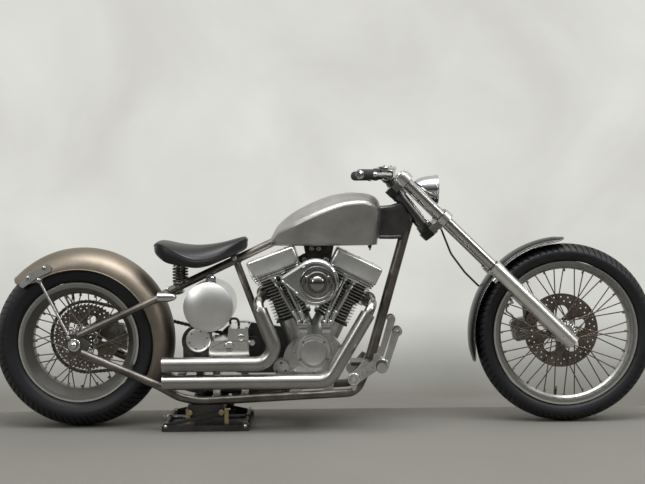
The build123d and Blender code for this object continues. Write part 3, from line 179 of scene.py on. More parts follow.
# each lamp: name, place, aim, width, height, watts
LAMPS = [
    ("ceiling_lamp", (0.2, -0.9, 3.2), (0, 0.2, 0.3), 3.4, 1.4, 84.0),
    ("side_lamp", (-2.8, -3.2, 2.3), (0, 0, 0.5), 0.9, 1.2, 26.0),
    ("far_lamp", (3.2, -1.6, 2.6), (0.5, 0, 0.4), 0.8, 0.8, 24.0),
]
for name, place, aim, width, height, watts in LAMPS:
    lamp = bpy.data.lights.new(name, "AREA")
    lamp.shape = "RECTANGLE"
    lamp.size, lamp.size_y, lamp.energy = width, height, watts
    holder = placed(name, lamp)
    holder.location = place
    holder.rotation_euler = (Vector(aim) - Vector(place)).to_track_quat("-Z", "Y").to_euler()

# The room light is brighter above than below, as under a white ceiling.
room = bpy.data.worlds.new("room")
room.use_nodes = True
add = adder(room.node_tree, "ShaderNode")
room_split = add("SeparateXYZ", links={0: add("TexCoord").outputs["Generated"]})
room_height = add("MapRange", {"From Min": -1.0}, {"Value": room_split.outputs["Z"]})
room_ramp = add("ValToRGB", links={"Fac": room_height})
fill(room.node_tree.nodes["Background"], {"Strength": 1.35}, {"Color": room_ramp})
ramp = room_ramp.color_ramp.elements
ramp[0].position, ramp[1].position = 0.40, 0.90
ramp[0].color, ramp[1].color = (0.02, 0.02, 0.02, 1), (1.0, 1.0, 0.98, 1)
ramp.new(0.56).color = (0.06, 0.06, 0.058, 1)
ramp.new(0.74).color = (0.24, 0.24, 0.235, 1)
bpy.context.scene.world = room

# ---- Welded frame ----
# A rigid frame of round steel tube, ground back at the joints and left bare, so it is dull
# and browned by heat and handling. The tubes are welded to one another and to the axle plates.


def worn_metal(name, light, dark,
        rough=(0.25, 0.45), patch=7.0, grain=420.0, stretch=(1, 1, 1), depth=0.00002, metal=1.0):
    """Bare or plated metal: two tones in soft patches, fine grain in its roughness and relief."""
    finish, main, add = shader(name)
    cloud = add("TexNoise", {"Scale": patch, "Detail": 6.0, "Roughness": 0.62})
    spread = add("MapRange", {"From Min": 0.36, "From Max": 0.64}, {"Value": cloud})
    tone = add("Mix", {6: (*dark, 1), 7: (*light, 1)}, {0: spread}, data_type="RGBA")
    along = add("Mapping", {"Scale": stretch})
    lines = add("TexNoise", {"Scale": grain, "Detail": 3.0}, {"Vector": along})
    gloss = add("MapRange", {"From Min": 0.3,
        "From Max": 0.7, "To Min": rough[0], "To Max": rough[1]}, {"Value": lines})
    relief = add("Bump", {"Strength": 0.6, "Distance": depth}, {"Height": lines})
    fill(main, {"Metallic": metal}, {"Base Color": tone, "Roughness": gloss, "Normal": relief})
    return finish


both = (1, -1)
FORWARD, LEFT, RIGHT, UP, DOWN = (1, 0, 0), (0, 1, 0), (0, -1, 0), (0, 0, 1), (0, 0, -1)


def coat(finish, *names):
    """Gives CAD nodes a finish."""
    for name in names:
        nodes[name].data.materials.clear()
        nodes[name].data.materials.append(finish)


def at(x, y, z):
    """A point given in millimetres."""
    return Vector((x, y, z)) * MM


def gather(*parts):
    """Several shapes, each as points and faces, as one."""
    points, faces = [], []
    for part_points, part_faces in parts:
        shift = len(points)
        points.extend(part_points)
        faces.extend([tuple(k + shift for k in face) for face in part_faces])
    return points, faces


def mirrored(shape):
    """The same shape on the machine's other side."""
    points, faces = shape
    return [Vector((p[0], -p[1], p[2])) for p in points], [tuple(reversed(f)) for f in faces]


def settle(thing):
    """Turns the modifiers' result into the piece's own plain mesh."""
    graph = bpy.context.evaluated_depsgraph_get()
    mesh = bpy.data.meshes.new_from_object(thing.evaluated_get(graph), depsgraph=graph)
    thing.modifiers.clear()
    thing.data = mesh
    return thing


def solid(name, shape, merge=0.0):
    """A mesh from a shape, with its faces turned outwards and near points made one."""
    mesh = bpy.data.meshes.new(name)
    mesh.from_pydata([tuple(p) for p in shape[0]], [], shape[1])
    work = bmesh.new()
    work.from_mesh(mesh)
    if merge:
        bmesh.ops.remove_doubles(work, verts=work.verts, dist=merge)
    bmesh.ops.recalc_face_normals(work, faces=work.faces)
    work.to_mesh(mesh)
    work.free()
    return mesh


def mounted(thing, body, slot, crease=35.0):
    """Shades a piece smooth up to an angle, and gives it its body. The slot is not used."""
    thing.data.shade_smooth()
    thing.data.set_sharp_from_angle(angle=math.radians(crease))
    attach(thing, body)
    return thing


def piece(name, shape, finish, body, slot, round_over=0.0, smooth=0, crease=35.0):
    """A piece of the machine, from one shape or a list of them, which moves with a body."""
    mesh = solid(name, gather(*shape) if isinstance(shape, list) else shape, MERGE)
    mesh.materials.append(finish)
    thing = placed(name, mesh)
    if round_over:
        edge = thing.modifiers.new("edge", "BEVEL")
        edge.width, edge.segments = round_over, 2
        edge.limit_method, edge.angle_limit = "ANGLE", math.radians(30)
    if smooth:
        soft = thing.modifiers.new("soft", "SUBSURF")
        soft.levels = soft.render_levels = smooth
    if round_over or smooth:
        settle(thing)
    return mounted(thing, body, slot, crease)


def square_pair(direction):
    """Two unit vectors square to a direction and to each other."""
    aim = Vector(direction).normalized()
    side = aim.cross(Vector(LEFT))
    if side.length < 0.1:
        side = aim.cross(Vector(UP))
    side.normalize()
    return side, aim.cross(side)


def turned(profile, start=(0, 0, 0), direction=FORWARD, steps=40):
    """A profile of distances and radii in millimetres turned about a line; 0 closes to a point."""
    aim = Vector(direction).normalized()
    side, other = square_pair(aim)
    points, faces, rings = [], [], []
    for along, radius in profile:
        centre = Vector(start) + aim * (along * MM)
        if radius == 0:
            rings.append([len(points)])
            points.append(centre)
            continue
        first = len(points)
        for k in range(steps):
            a = 2 * math.pi * k / steps
            points.append(centre + (side * math.cos(a) + other * math.sin(a)) * (radius * MM))
        rings.append(list(range(first, first + steps)))
    for low, high in zip(rings, rings[1:]):
        for k in range(steps):
            n = (k + 1) % steps
            face = [low[k % len(low)], low[n % len(low)], high[n % len(high)], high[k % len(high)]]
            faces.append(tuple(dict.fromkeys(face)))
    for ring in (rings[0], rings[-1]):
        if len(ring) > 1:
            faces.append(tuple(ring))
    return points, faces


def skin(rows):
    """A closed skin over rows of points, each row a loop, with a lid on the first and last."""
    wide, last = len(rows[0]), len(rows) - 1
    faces = [(i * wide + k, i * wide + (k + 1) % wide, (i + 1) * wide + (k + 1) % wide,
        (i + 1) * wide + k) for i in range(last) for k in range(wide)]
    faces += [tuple(range(wide)), tuple(range(last * wide, (last + 1) * wide))]
    return [p for row in rows for p in row], faces


def tube(path, radius, steps=20, closed=False, caps=True):
    """A round tube along a list of points, its radius in millimetres."""
    count = len(path)
    points, faces = [], []
    side = None
    for i, centre in enumerate(path):
        if closed:
            aim = (path[(i + 1) % count] - path[i - 1]).normalized()
        else:
            aim = (path[min(i + 1, count - 1)] - path[max(i - 1, 0)]).normalized()
        if side is None:
            side = square_pair(aim)[0]
        side = (side - aim * side.dot(aim)).normalized()
        other = aim.cross(side)
        for k in range(steps):
            a = 2 * math.pi * k / steps
            points.append(centre + (side * math.cos(a) + other * math.sin(a)) * (radius * MM))
    for i in range(count if closed else count - 1):
        low, high = i * steps, ((i + 1) % count) * steps
        for k in range(steps):
            n = (k + 1) % steps
            faces.append((low + k, low + n, high + n, high + k))
    if caps and not closed:
        faces.append(tuple(range(steps)))
        faces.append(tuple(range((count - 1) * steps, count * steps)))
    return points, faces


def geometry_tree(name, inputs):
    """An empty geometry tree with named inputs, and functions that add to it and close it."""
    tree = bpy.data.node_groups.new(name, "GeometryNodeTree")
    tree.interface.new_socket("Geometry", in_out="INPUT", socket_type="NodeSocketGeometry")
    tree.interface.new_socket("Geometry", in_out="OUTPUT", socket_type="NodeSocketGeometry")
    for label, kind in inputs:
        tree.interface.new_socket(label, in_out="INPUT", socket_type="NodeSocket" + kind)
    entry = tree.nodes.new("NodeGroupInput")
    leave = tree.nodes.new("NodeGroupOutput")

    add = adder(tree)

    def copies(label, spots, **links):
        """Copies of the object given under a label, on points."""
        shape = add("GeometryNodeObjectInfo", links={"Object": entry.outputs[label]})
        return add("GeometryNodeInstanceOnPoints",
            links={"Points": spots, "Instance": shape.outputs["Geometry"], **links})

    def end(socket):
        """Realizes the instances, gives them the material and closes the tree."""
        real = add("GeometryNodeRealizeInstances", links={0: socket})
        dressed = add("GeometryNodeSetMaterial",
            links={"Geometry": real, "Material": entry.outputs["Material"]})
        fill(leave, links={0: dressed})

    return tree, entry.outputs, add, copies, end


def grown(name, tree, values, body, slot, points=(), edges=()):
    """A piece that a geometry tree makes from its named inputs, as a plain mesh."""
    mesh = bpy.data.meshes.new(name)
    mesh.from_pydata([tuple(p) for p in points], edges, [])
    thing = placed(name, mesh)
    maker = thing.modifiers.new("maker", "NODES")
    maker.node_group = tree
    for item in tree.interface.items_tree:
        if item.in_out == "INPUT" and item.name in values:
            maker[item.identifier] = values[item.name]
    return mounted(settle(thing), body, slot)


patterns = []


def pattern(name, shape):
    """A small shape that geometry trees copy. It is removed when the machine is finished."""
    patterns.append(placed(name, solid(name, shape)))
    return patterns[-1]


def path_tree():
    """Copies of a pattern at even steps along an edge path, with local x along the path."""
    tree, given, add, copies, end = geometry_tree(
        "along_path", [("Pattern", "Object"), ("Count", "Int"), ("Material", "Material")])
    line = add("GeometryNodeMeshToCurve", links={"Mesh": given["Geometry"]})
    steps = add("GeometryNodeResampleCurve", links={"Curve": line, "Count": given["Count"]})
    aim = add("GeometryNodeInputTangent")
    turn_to = add("FunctionNodeAlignRotationToVector", links={"Vector": aim}, axis="X")
    end(copies("Pattern", steps, Rotation=turn_to))
    return tree


along_path = path_tree()
ground_steel = worn_metal(
    "ground_steel", (0.27, 0.25, 0.228), (0.11, 0.10, 0.09), (0.36, 0.48), depth=0.00001)
# A darker copy of the frame's bare steel: painted shade on the neck and its ribs.
shaded_neck_steel = worn_metal("shaded_neck_steel", (0.15, 0.147, 0.143), (0.07, 0.068, 0.066), (0.3, 0.45))
coat(shaded_neck_steel, "neck")
neck_ribs = []
for side in both:
    neck_ribs.append(
        tube([at(214, side * 27, 834), at(262, side * 27, 838), at(302, side * 26, 850)], 11.5))
    neck_ribs.append(
        tube([at(214, side * 29, 727), at(262, side * 29, 726), at(298, side * 29, 727)], 8))
piece("neck_ribs", neck_ribs, shaded_neck_steel, "frame", "bare_steel")
coat(ground_steel, "backbone", "downtube", "seat_post", "right_rail", "left_rail", "upper_stays")

weld_blob = pattern(
    "weld_blob", turned([(-1.6, 0), (-1.1, 1.7), (0, 2.3), (1.1, 1.7), (1.6, 0)], steps=8))
weld_steel = worn_metal("weld_steel", (0.30, 0.24, 0.20), (0.10, 0.085, 0.10), (0.25, 0.45))
# each weld ring: centre x, y, z, direction x, y, z, radius
WELDS = [
    (-338, 0, 627, -0.347, 0, 0.938, 14.5),
    (176, 0, 254, 0.274, 0, 0.962, 20.5),
    (168, 102, 236, 0, 1, 0, 17.5),
    (168, -102, 236, 0, 1, 0, 17.5),
    (-157, 0, 141, -0.347, 0, 0.938, 14.5),
    (-152, 103, 124, 0, 1, 0, 13.5),
    (-152, -103, 124, 0, 1, 0, 13.5),
    (-608, 27, 513, 0, 1, 0, 13.5),
    (-608, -27, 513, 0, 1, 0, 13.5),
]
WELD_BLOBS = 42
weld_points, weld_edges = [], []
for x, y, z, dx, dy, dz, radius in WELDS:
    side, other = square_pair((dx, dy, dz))
    first, count = len(weld_points), 24
    for k in range(count):
        a = 2 * math.pi * k / count
        weld_points.append(at(x, y, z) + (side * math.cos(a) + other * math.sin(a)) * radius * MM)
        weld_edges.append((first + k, first + (k + 1) % count))
grown("frame_welds", along_path, {"Pattern": weld_blob,
    "Count": WELD_BLOBS, "Material": weld_steel}, "frame", "bare_steel", weld_points, weld_edges)

CAP_R = 18.4
bullet = [(-10, 14), (-9, CAP_R), (24, CAP_R), (27, CAP_R - 0.3)]
for k in range(1, 9):
    share = k / 8
    bullet.append((27 + share * 36, (CAP_R - 0.3) * math.sqrt(1 - share ** 1.5) if k < 8 else 0))
end_caps = [turned(bullet, at(-622, side * 143, 511), FORWARD, 36) for side in both]
chrome = worn_metal(
    "chrome", (0.70, 0.71, 0.715), (0.58, 0.585, 0.59), (0.045, 0.11), 5, 260, depth=0.000005)
piece("stay_end_caps", end_caps, chrome, "frame", "bare_steel")
coat(chrome, "rear_axle", "front_axle", "handlebar")
coat(worn_metal("tube_plating", (0.58, 0.575, 0.565),
    (0.46, 0.455, 0.445), (0.15, 0.21), 9, 260, depth=0.000003), "fork_tubes")

# ---- Tyres ----
# Black road rubber moulded in one: a rounded crown with slanted grooves on its shoulders, a
# plain sidewall with a raised rib, and beads that sit on the rim's seats.
REAR_AXLE = at(-950.5, 0, 332)
FRONT_AXLE = at(935.5, 0, 347)


def rubber(name, light, dark, rough):
    """Moulded rubber with dust that lies unevenly on it."""
    finish, main, add = shader(name)
    dust = add("TexNoise", {"Scale": 9.0, "Detail": 7.0})
    tone = add("Mix", {6: (*dark, 1), 7: (*light, 1)}, {0: dust}, data_type="RGBA")
    grain = add("TexNoise", {"Scale": 900.0, "Detail": 2.0})
    relief = add("Bump", {"Strength": 0.35, "Distance": 0.0002}, {"Height": grain})
    fill(main,
        {"Roughness": rough, "Specular IOR Level": 0.35}, {"Base Color": tone, "Normal": relief})
    return finish


def arc_through(start, middle, end, count):
    """Points of the circle arc through three points of a plane, both ends included."""
    (ax, ay), (bx, by), (cx, cy) = start, middle, end
    d = 2 * (ax * (by - cy) + bx * (cy - ay) + cx * (ay - by))
    ux = ((ax * ax + ay * ay)
        * (by - cy) + (bx * bx + by * by) * (cy - ay) + (cx * cx + cy * cy) * (ay - by)) / d
    uy = ((ax * ax + ay * ay)
        * (cx - bx) + (bx * bx + by * by) * (ax - cx) + (cx * cx + cy * cy) * (bx - ax)) / d
    radius = math.hypot(ax - ux, ay - uy)
    first = math.atan2(ay - uy, ax - ux)
    turn_a = (math.atan2(by - uy, bx - ux) - first) % (2 * math.pi)
    turn_b = (math.atan2(cy - uy, cx - ux) - first) % (2 * math.pi)
    if turn_b < turn_a:
        turn_b -= 2 * math.pi
    return [(ux + radius * math.cos(first + turn_b * k / (count - 1)),
        uy + radius * math.sin(first + turn_b * k / (count - 1))) for k in range(count)]


SHARES = (0.0, 0.24, 0.55, 0.79)
GROOVE_DEPTH, GROOVE_ROWS, GROOVE_SLANT = 4.6, 13, 1.15
# how high up the sidewall a tyre is widest, its wall, and the sidewall's raised rib
BULGE, TYRE_WALL, RIB_ROWS, RIB_PROUD = 0.42, 9, (4, 5), 0.9
SIDE_ROWS, CROWN_ROWS = 9, 33


def tyre(name, axle, radius, half, rim_radius, rim_half, pitches, body, finish):
    """A tyre with slanted shoulder grooves, closed inside, turned about its axle."""
    wide = rim_radius + BULGE * (radius - rim_radius)
    side = arc_through(
        (rim_radius + 2, rim_half - 5.3), (wide - 14, half - 3), (wide + 10, half), SIDE_ROWS)
    crown = arc_through((wide + 10, half), (radius, 0), (wide + 10, -half), CROWN_ROWS)
    outer = side[:-1] + crown + [(r, -y) for r, y in reversed(side[:-1])]
    for k in RIB_ROWS:
        for spot in (k, len(outer) - 1 - k):
            r, y = outer[spot]
            outer[spot] = (r, y - math.copysign(RIB_PROUD, y))
    inner = [(r - TYRE_WALL if abs(y) < half * 0.75 else r, y * (half - 8) / half)
        for r, y in outer[3:-3]][::3]
    inner = [(min(r, radius - TYRE_WALL), y) for r, y in inner]
    section = outer + list(reversed(inner))
    count = len(section)
    crown_first, crown_last = len(side) - 1, len(side) - 1 + len(crown) - 1
    columns = pitches * len(SHARES)
    points, faces, deep = [], [], []
    for c in range(columns):
        pitch, share = divmod(c, len(SHARES))
        for k, (r, y) in enumerate(section):
            slant = 0.0
            if crown_first <= k <= crown_last:
                middle = (crown_first + crown_last) / 2
                off = abs(k - middle) / (middle - crown_first)
                slant = GROOVE_SLANT * (1 - off) * min(1.0, 3 * off)
            a = 2 * math.pi * (pitch + SHARES[share] + slant) / pitches
            points.append(axle + at(math.cos(a) * r, y, math.sin(a) * r))
    spread = len(crown) - 1
    middle_rows = (GROOVE_ROWS,
        GROOVE_ROWS + 1, spread - GROOVE_ROWS - 2, spread - GROOVE_ROWS - 1)
    for c in range(columns):
        n = (c + 1) % columns
        for k in range(count):
            m = (k + 1) % count
            faces.append((c * count + k, c * count + m, n * count + m, n * count + k))
            step = k - crown_first
            left_side = 0 <= step < GROOVE_ROWS
            right_side = spread - GROOVE_ROWS <= step < spread
            if c % len(SHARES) == 0 and (left_side or right_side):
                deep.append(len(faces) - 1)
            if c % (2 * len(SHARES)) == 2 and step in middle_rows:
                deep.append(len(faces) - 1)
    mesh = bpy.data.meshes.new(name)
    mesh.from_pydata(points, [], faces)
    work = bmesh.new()
    work.from_mesh(mesh)
    work.faces.ensure_lookup_table()
    bmesh.ops.recalc_face_normals(work, faces=work.faces)
    lids = [work.faces[k] for k in deep]
    cut = bmesh.ops.extrude_face_region(work, geom=lids)
    bmesh.ops.delete(work, geom=lids, context="FACES_ONLY")
    for vertex in cut["geom"]:
        if isinstance(vertex, bmesh.types.BMVert):
            out = Vector((vertex.co.x - axle.x, 0, vertex.co.z - axle.z)).normalized()
            vertex.co -= out * GROOVE_DEPTH * MM
    bmesh.ops.recalc_face_normals(work, faces=work.faces)
    work.to_mesh(mesh)
    work.free()
    mesh.materials.append(finish)
    thing = placed(name, mesh)
    return mounted(thing, body, "tyre_rubber", 40)


tyre_rubber = rubber("tyre_rubber", (0.014, 0.015, 0.018), (0.006, 0.0065, 0.0075), 0.46)
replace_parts(tyre("rear_tyre_tread", REAR_AXLE, 332, 87, 232, 66, 76, "rear_wheel", tyre_rubber),
    "rear_tyre")
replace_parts(tyre("front_tyre_tread", FRONT_AXLE, 347, 50, 279, 38, 84, "front_wheel", tyre_rubber),
    "front_tyre")

# ---- Rims, spokes and hubs ----
# Dull alloy rims with a polished lip, forty wire spokes a wheel held by brass nipples in the
# rim and by their bent heads in the hub's flanges, and bright hubs that turn on the axles.


def two_tone_metal(name, axle, inner, outer, edge_at, rough_in, rough_out):
    """Metal that changes its finish at a radius from the axle."""
    finish, main, add = shader(name)
    split = add("SeparateXYZ")
    dx = add("Math", {1: axle.x}, {0: split.outputs["X"]}, operation="SUBTRACT")
    dz = add("Math", {1: axle.z}, {0: split.outputs["Z"]}, operation="SUBTRACT")
    flat = add("CombineXYZ", links={"X": dx, "Y": dz})
    far = add("VectorMath", links={0: flat}, operation="LENGTH")
    edge = add(
        "MapRange", {"From Min": edge_at - 0.0015, "From Max": edge_at + 0.0015}, {"Value": far})
    grain = add("TexNoise", {"Scale": 60.0, "Detail": 5.0})
    tone = add("Mix", {6: (*inner, 1), 7: (*outer, 1)}, {0: edge}, data_type="RGBA")
    cloud = add(
        "MapRange", {"To Min": rough_in - 0.07, "To Max": rough_in + 0.07}, {"Value": grain})
    gloss = add("Mix", {3: rough_out}, {0: edge, 2: cloud})
    fill(main, {"Metallic": 1.0}, {"Base Color": tone, "Roughness": gloss})
    return finish


RIM_GREY, LIP_GREY = (0.36, 0.36, 0.35), (0.66, 0.66, 0.65)
coat(two_tone_metal("rear_rim_alloy", REAR_AXLE, RIM_GREY, LIP_GREY, 0.2245, 0.32, 0.16),
    "rear_rim")
coat(two_tone_metal("front_rim_alloy", FRONT_AXLE, RIM_GREY, LIP_GREY, 0.2715, 0.32, 0.16),
    "front_rim")
HUB_CHROME, SPOKE_BROWN = (0.66, 0.66, 0.66), (0.15, 0.125, 0.10)
coat(two_tone_metal("rear_hub_steel", REAR_AXLE, HUB_CHROME, SPOKE_BROWN, 0.060, 0.16, 0.30),
    "rear_hub")
coat(two_tone_metal("front_hub_steel", FRONT_AXLE, HUB_CHROME, SPOKE_BROWN, 0.046, 0.16, 0.30),
    "front_hub")


def ring_tree():
    """Copies of a pattern evenly around an axis along Y, with local x pointing outwards."""
    tree, given, add, copies, end = geometry_tree(
        "around_axle", [("Pattern", "Object"), ("Count", "Int"), ("Radius", "Float"),
        ("Middle", "Vector"), ("First Angle", "Float"), ("Material", "Material")])
    number = add("GeometryNodeInputIndex")
    step = add("ShaderNodeMath", {0: 2 * math.pi}, {1: given["Count"]}, operation="DIVIDE")
    angle = add("ShaderNodeMath",
        links={0: number, 1: step, 2: given["First Angle"]}, operation="MULTIPLY_ADD")
    cosine = add("ShaderNodeMath", links={0: angle}, operation="COSINE")
    sine = add("ShaderNodeMath", links={0: angle}, operation="SINE")
    outwards = add("ShaderNodeCombineXYZ", links={"X": cosine, "Z": sine})
    reach = add(
        "ShaderNodeVectorMath", links={0: outwards, "Scale": given["Radius"]}, operation="SCALE")
    spot = add("ShaderNodeVectorMath", links={0: reach, 1: given["Middle"]}, operation="ADD")
    spots = add("GeometryNodePoints", links={"Count": given["Count"], "Position": spot})
    back = add("ShaderNodeMath", {1: -1.0}, {0: angle}, operation="MULTIPLY")
    euler = add("ShaderNodeCombineXYZ", links={"Y": back})
    turn_to = add("FunctionNodeEulerToRotation", links={0: euler})
    end(copies("Pattern", spots, Rotation=turn_to))
    return tree


around_axle = ring_tree()


def ring(name, shape, count, radius, middle, first, finish, body, slot):
    """A ring of like parts around an axis along Y."""
    return grown(name, around_axle,
        {"Pattern": shape, "Count": count, "Radius": radius * MM, "Middle": tuple(middle),
        "First Angle": math.radians(first), "Material": finish}, body, slot)


brass = worn_metal("nipple_brass", (0.30, 0.27, 0.22), (0.19, 0.17, 0.14), (0.2, 0.35), 40)
head_profile = [(-1.5, 0), (-1.5, 4.0), (0.2, 4.2), (1.5, 3.4), (2.4, 1.8), (2.8, 0)]
nipple_profile = [(0, 2.4), (0, 3.5), (9.0, 3.5), (10.0, 4.8), (13.0, 4.8), (13.0, 0)]
# each wheel: name, axle, flange radius, flange y, spoke reach
WHEELS = [("rear_wheel", REAR_AXLE, 48.0, 50.0, 185.7),
    ("front_wheel", FRONT_AXLE, 36.0, 36.0, 248.7)]
SPOKE_SWEEP, RIM_SPREAD = 68.0, 6
for wheel, axle, flange, flange_y, reach in WHEELS:
    for side, side_name in ((1, "left"), (-1, "right")):
        offset = 0.5 if side < 0 else 0.0
        for skew in (0, 1):
            sweep = SPOKE_SWEEP if skew else -SPOKE_SWEEP
            inner = at(flange * math.cos(math.radians(sweep)),
                side * flange_y, flange * math.sin(math.radians(sweep)))
            outer = at(reach, side * RIM_SPREAD, 0)
            way = (outer - inner).normalized()
            nipple = pattern("nipple", turned(nipple_profile, -way * 11 * MM, way, 8))
            ring(f"{wheel}_{side_name}_nipples_{skew}", nipple, 10, reach, axle + at(
                0, side * RIM_SPREAD, 0), 36 * (skew + offset), brass, wheel, "polished_alloy")
        head = pattern("spoke_head", turned(head_profile, (0, 0, 0), (0, side, 0), 10))
        ring(f"{wheel}_{side_name}_spoke_heads", head,
            20, flange, axle + at(0, side * (flange_y + 3.1), 0), 4, chrome, wheel, "wheel_steel")

# ---- Axle nuts and valves ----
# Chromed acorn nuts on thick washers clamp the rear axle in the plates' slots. Each rim has a
# rubber valve stem with a threaded metal top.


def hexed(low, high, radius, start=(0, 0, 0), direction=FORWARD):
    """A six-sided nut or bolt head with its corners turned off."""
    chamfer = radius * 0.10
    return turned([(low, 0), (low, radius - chamfer), (low + chamfer, radius),
        (high - chamfer, radius), (high, radius - chamfer), (high, 0)], start, direction, 6)


acorns = []
for side in both:
    start = REAR_AXLE + at(0, side * 149, 0)
    acorns.append(turned([(-1, 0), (-1, 24), (2, 24), (3, 23), (3, 0)], start, (0, side, 0), 36))
    acorns.append(hexed(2, 13, 17.5, start, (0, side, 0)))
    acorns.append(turned(
        [(12, 0), (12, 14.5), (16, 13.5), (20, 10), (22.5, 5), (23, 0)], start, (0, side, 0), 28))
piece("rear_axle_nuts", acorns, chrome, "frame", "bright_chrome")
valve = pattern("valve", gather(turned([(-22, 4.4), (-20, 5.2), (-8, 5.0), (0, 6.5), (4, 0)],
    steps=12), turned([(-34, 0), (-33.5, 2.6), (-22, 2.6), (-21, 0)], steps=12)))
black_rubber = rubber("black_rubber", (0.040, 0.040, 0.042), (0.022, 0.022, 0.024), 0.62)
ring("rear_valve", valve, 1, 186, REAR_AXLE, 100, black_rubber, "rear_wheel", "black_rubber")
ring("front_valve", valve, 1, 249, FRONT_AXLE, 262, black_rubber, "front_wheel", "black_rubber")

# ---- Brake discs, sprocket and calipers ----
# A drilled steel disc in front and, behind, the sprocket that the rear caliper grips, both
# browned by heat and each bolted to its hub by five button-headed bolts. Bare alloy calipers.
disc_steel = worn_metal(
    "disc_steel", (0.31, 0.275, 0.24), (0.17, 0.145, 0.125), (0.28, 0.42), 9, 700, (0.2, 1, 0.2))
coat(disc_steel, "rear_sprocket", "front_disc")
coat(worn_metal("caliper_alloy", (0.26, 0.255, 0.25), (0.15, 0.147, 0.142), (0.24, 0.38), 30),
    "rear_caliper", "front_caliper")
left_button = pattern("left_button_head", mirrored(turned(
    [(0, 0), (0, 8.2), (1.5, 8.0), (3.8, 6.2), (4.6, 4.0), (4.6, 0)], (0, 0, 0), RIGHT, 18)))
bolt_steel = worn_metal("bolt_steel", (0.66, 0.66, 0.65), (0.42, 0.41, 0.40), (0.16, 0.30), 60)
dark_bolt = worn_metal("dark_bolt", (0.13, 0.125, 0.12), (0.06, 0.058, 0.055), (0.3, 0.45), 60)
ring("front_disc_bolts",
    left_button, 5, 36, FRONT_AXLE + at(0, 62, 0), 90, bolt_steel, "front_wheel", "bright_chrome")
ring("rear_sprocket_bolts",
    left_button, 5, 30, REAR_AXLE + at(0, 120.5, 0), 54, bolt_steel, "rear_wheel", "bright_chrome")

# ---- Drive chain ----
# A roller chain of pressed steel links, oiled dark, from the gearbox sprocket to the rear one.
# Inner links with their rollers take turns with outer links, which carry the pins.
BIG = at(-950.5, 117, 332)
SMALL = at(-392, 117, 285)
BIG_R, SMALL_R = 141.57, 50.74
PITCH = 15.875


def hull_path(first, first_r, second, second_r, step):
    """The closed line around two circles in the XZ plane, like a belt's, in short steps."""
    gap = second - first
    lean = math.atan2(gap.z, gap.x)
    spread = math.acos((first_r - second_r) * MM / gap.length)
    line = []
    arcs = ((first, first_r, lean + spread, lean + 2 * math.pi - spread),
        (second, second_r, lean - spread, lean + spread))
    for centre, radius, start, end in arcs:
        count = max(6, int(abs(end - start) * radius / step))
        for k in range(count + 1):
            a = start + (end - start) * k / count
            line.append(centre + Vector((math.cos(a), 0, math.sin(a))) * (radius * MM))
    return line


def link_plate(y, thick, waist, round_r):
    """One side plate of a link along local x, centred on the link's middle."""
    outline = []
    for centre, turn_from in ((PITCH / 2, -90), (-PITCH / 2, 90)):
        for k in range(9):
            a = math.radians(turn_from + 180 * k / 8)
            outline.append((centre + math.cos(a) * round_r, math.sin(a) * round_r))
        outline.append((0, waist if turn_from == -90 else -waist))
    return skin([[at(x, level, z) for x, z in outline] for level in (y, y + thick)])


PLATE_T = 1.8
inner_link = gather(link_plate(-5.4, PLATE_T, 5.2, 7.2), link_plate(3.6, PLATE_T, 5.2, 7.2),
    turned([(-3.6, 5.0), (3.6, 5.0)], at(PITCH / 2, 0, 0), LEFT, 12),
    turned([(-3.6, 5.0), (3.6, 5.0)], at(-PITCH / 2, 0, 0), LEFT, 12))
outer_link = gather(link_plate(-7.3, PLATE_T, 4.8, 7.0), link_plate(5.5, PLATE_T, 4.8, 7.0),
    turned([(-7.5, 2.6), (7.5, 2.6)], at(PITCH / 2, 0, 0), LEFT, 10),
    turned([(-7.5, 2.6), (7.5, 2.6)], at(-PITCH / 2, 0, 0), LEFT, 10))


def chain_tree():
    """Inner and outer links in turn along a closed path."""
    tree, given, add, copies, end = geometry_tree("chain_links", [("Inner Link", "Object"),
        ("Outer Link", "Object"), ("Links", "Int"), ("Material", "Material")])
    line = add("GeometryNodeMeshToCurve", links={"Mesh": given["Geometry"]})
    steps = add("GeometryNodeResampleCurve", links={"Curve": line, "Count": given["Links"]})
    aim = add("GeometryNodeInputTangent")
    turn_to = add(
        "FunctionNodeAlignRotationToVector", links={"Vector": aim}, axis="X", pivot_axis="Y")
    number = add("GeometryNodeInputIndex")
    odd = add("ShaderNodeMath", {1: 2.0}, {0: number}, operation="MODULO")
    even = add("ShaderNodeMath", {0: 1.0}, {1: odd}, operation="SUBTRACT")
    joined = add("GeometryNodeJoinGeometry")
    for label, chosen in (("Inner Link", even), ("Outer Link", odd)):
        some = copies(label, steps, Selection=chosen, Rotation=turn_to)
        fill(joined, links={0: some})
    end(joined)
    return tree


chain_line = hull_path(BIG, BIG_R, SMALL, SMALL_R, 6)
length = sum((chain_line[k] - chain_line[k - 1]).length for k in range(len(chain_line)))
chain_steel = worn_metal("chain_steel", (0.23, 0.21, 0.19), (0.10, 0.09, 0.08), (0.3, 0.5), 60)
chain = grown("chain_links", chain_tree(), {"Inner Link": pattern("inner_link", inner_link),
    "Outer Link": pattern("outer_link", outer_link),
    "Links": 2 * round(length / (PITCH * MM) / 2), "Material": chain_steel}, "frame",
    "dark_chain", chain_line, [(k, (k + 1) % len(chain_line)) for k in range(len(chain_line))])
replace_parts(chain, "drive_chain")
sprocket_line = []
SMALL_TEETH = 20
for k in range(SMALL_TEETH * 4):
    radius = (44.5, 52.5, 55.0, 52.5)[k % 4] * MM
    a = 2 * math.pi * k / (SMALL_TEETH * 4)
    sprocket_line.append(Vector((math.cos(a), 0, math.sin(a))) * radius)


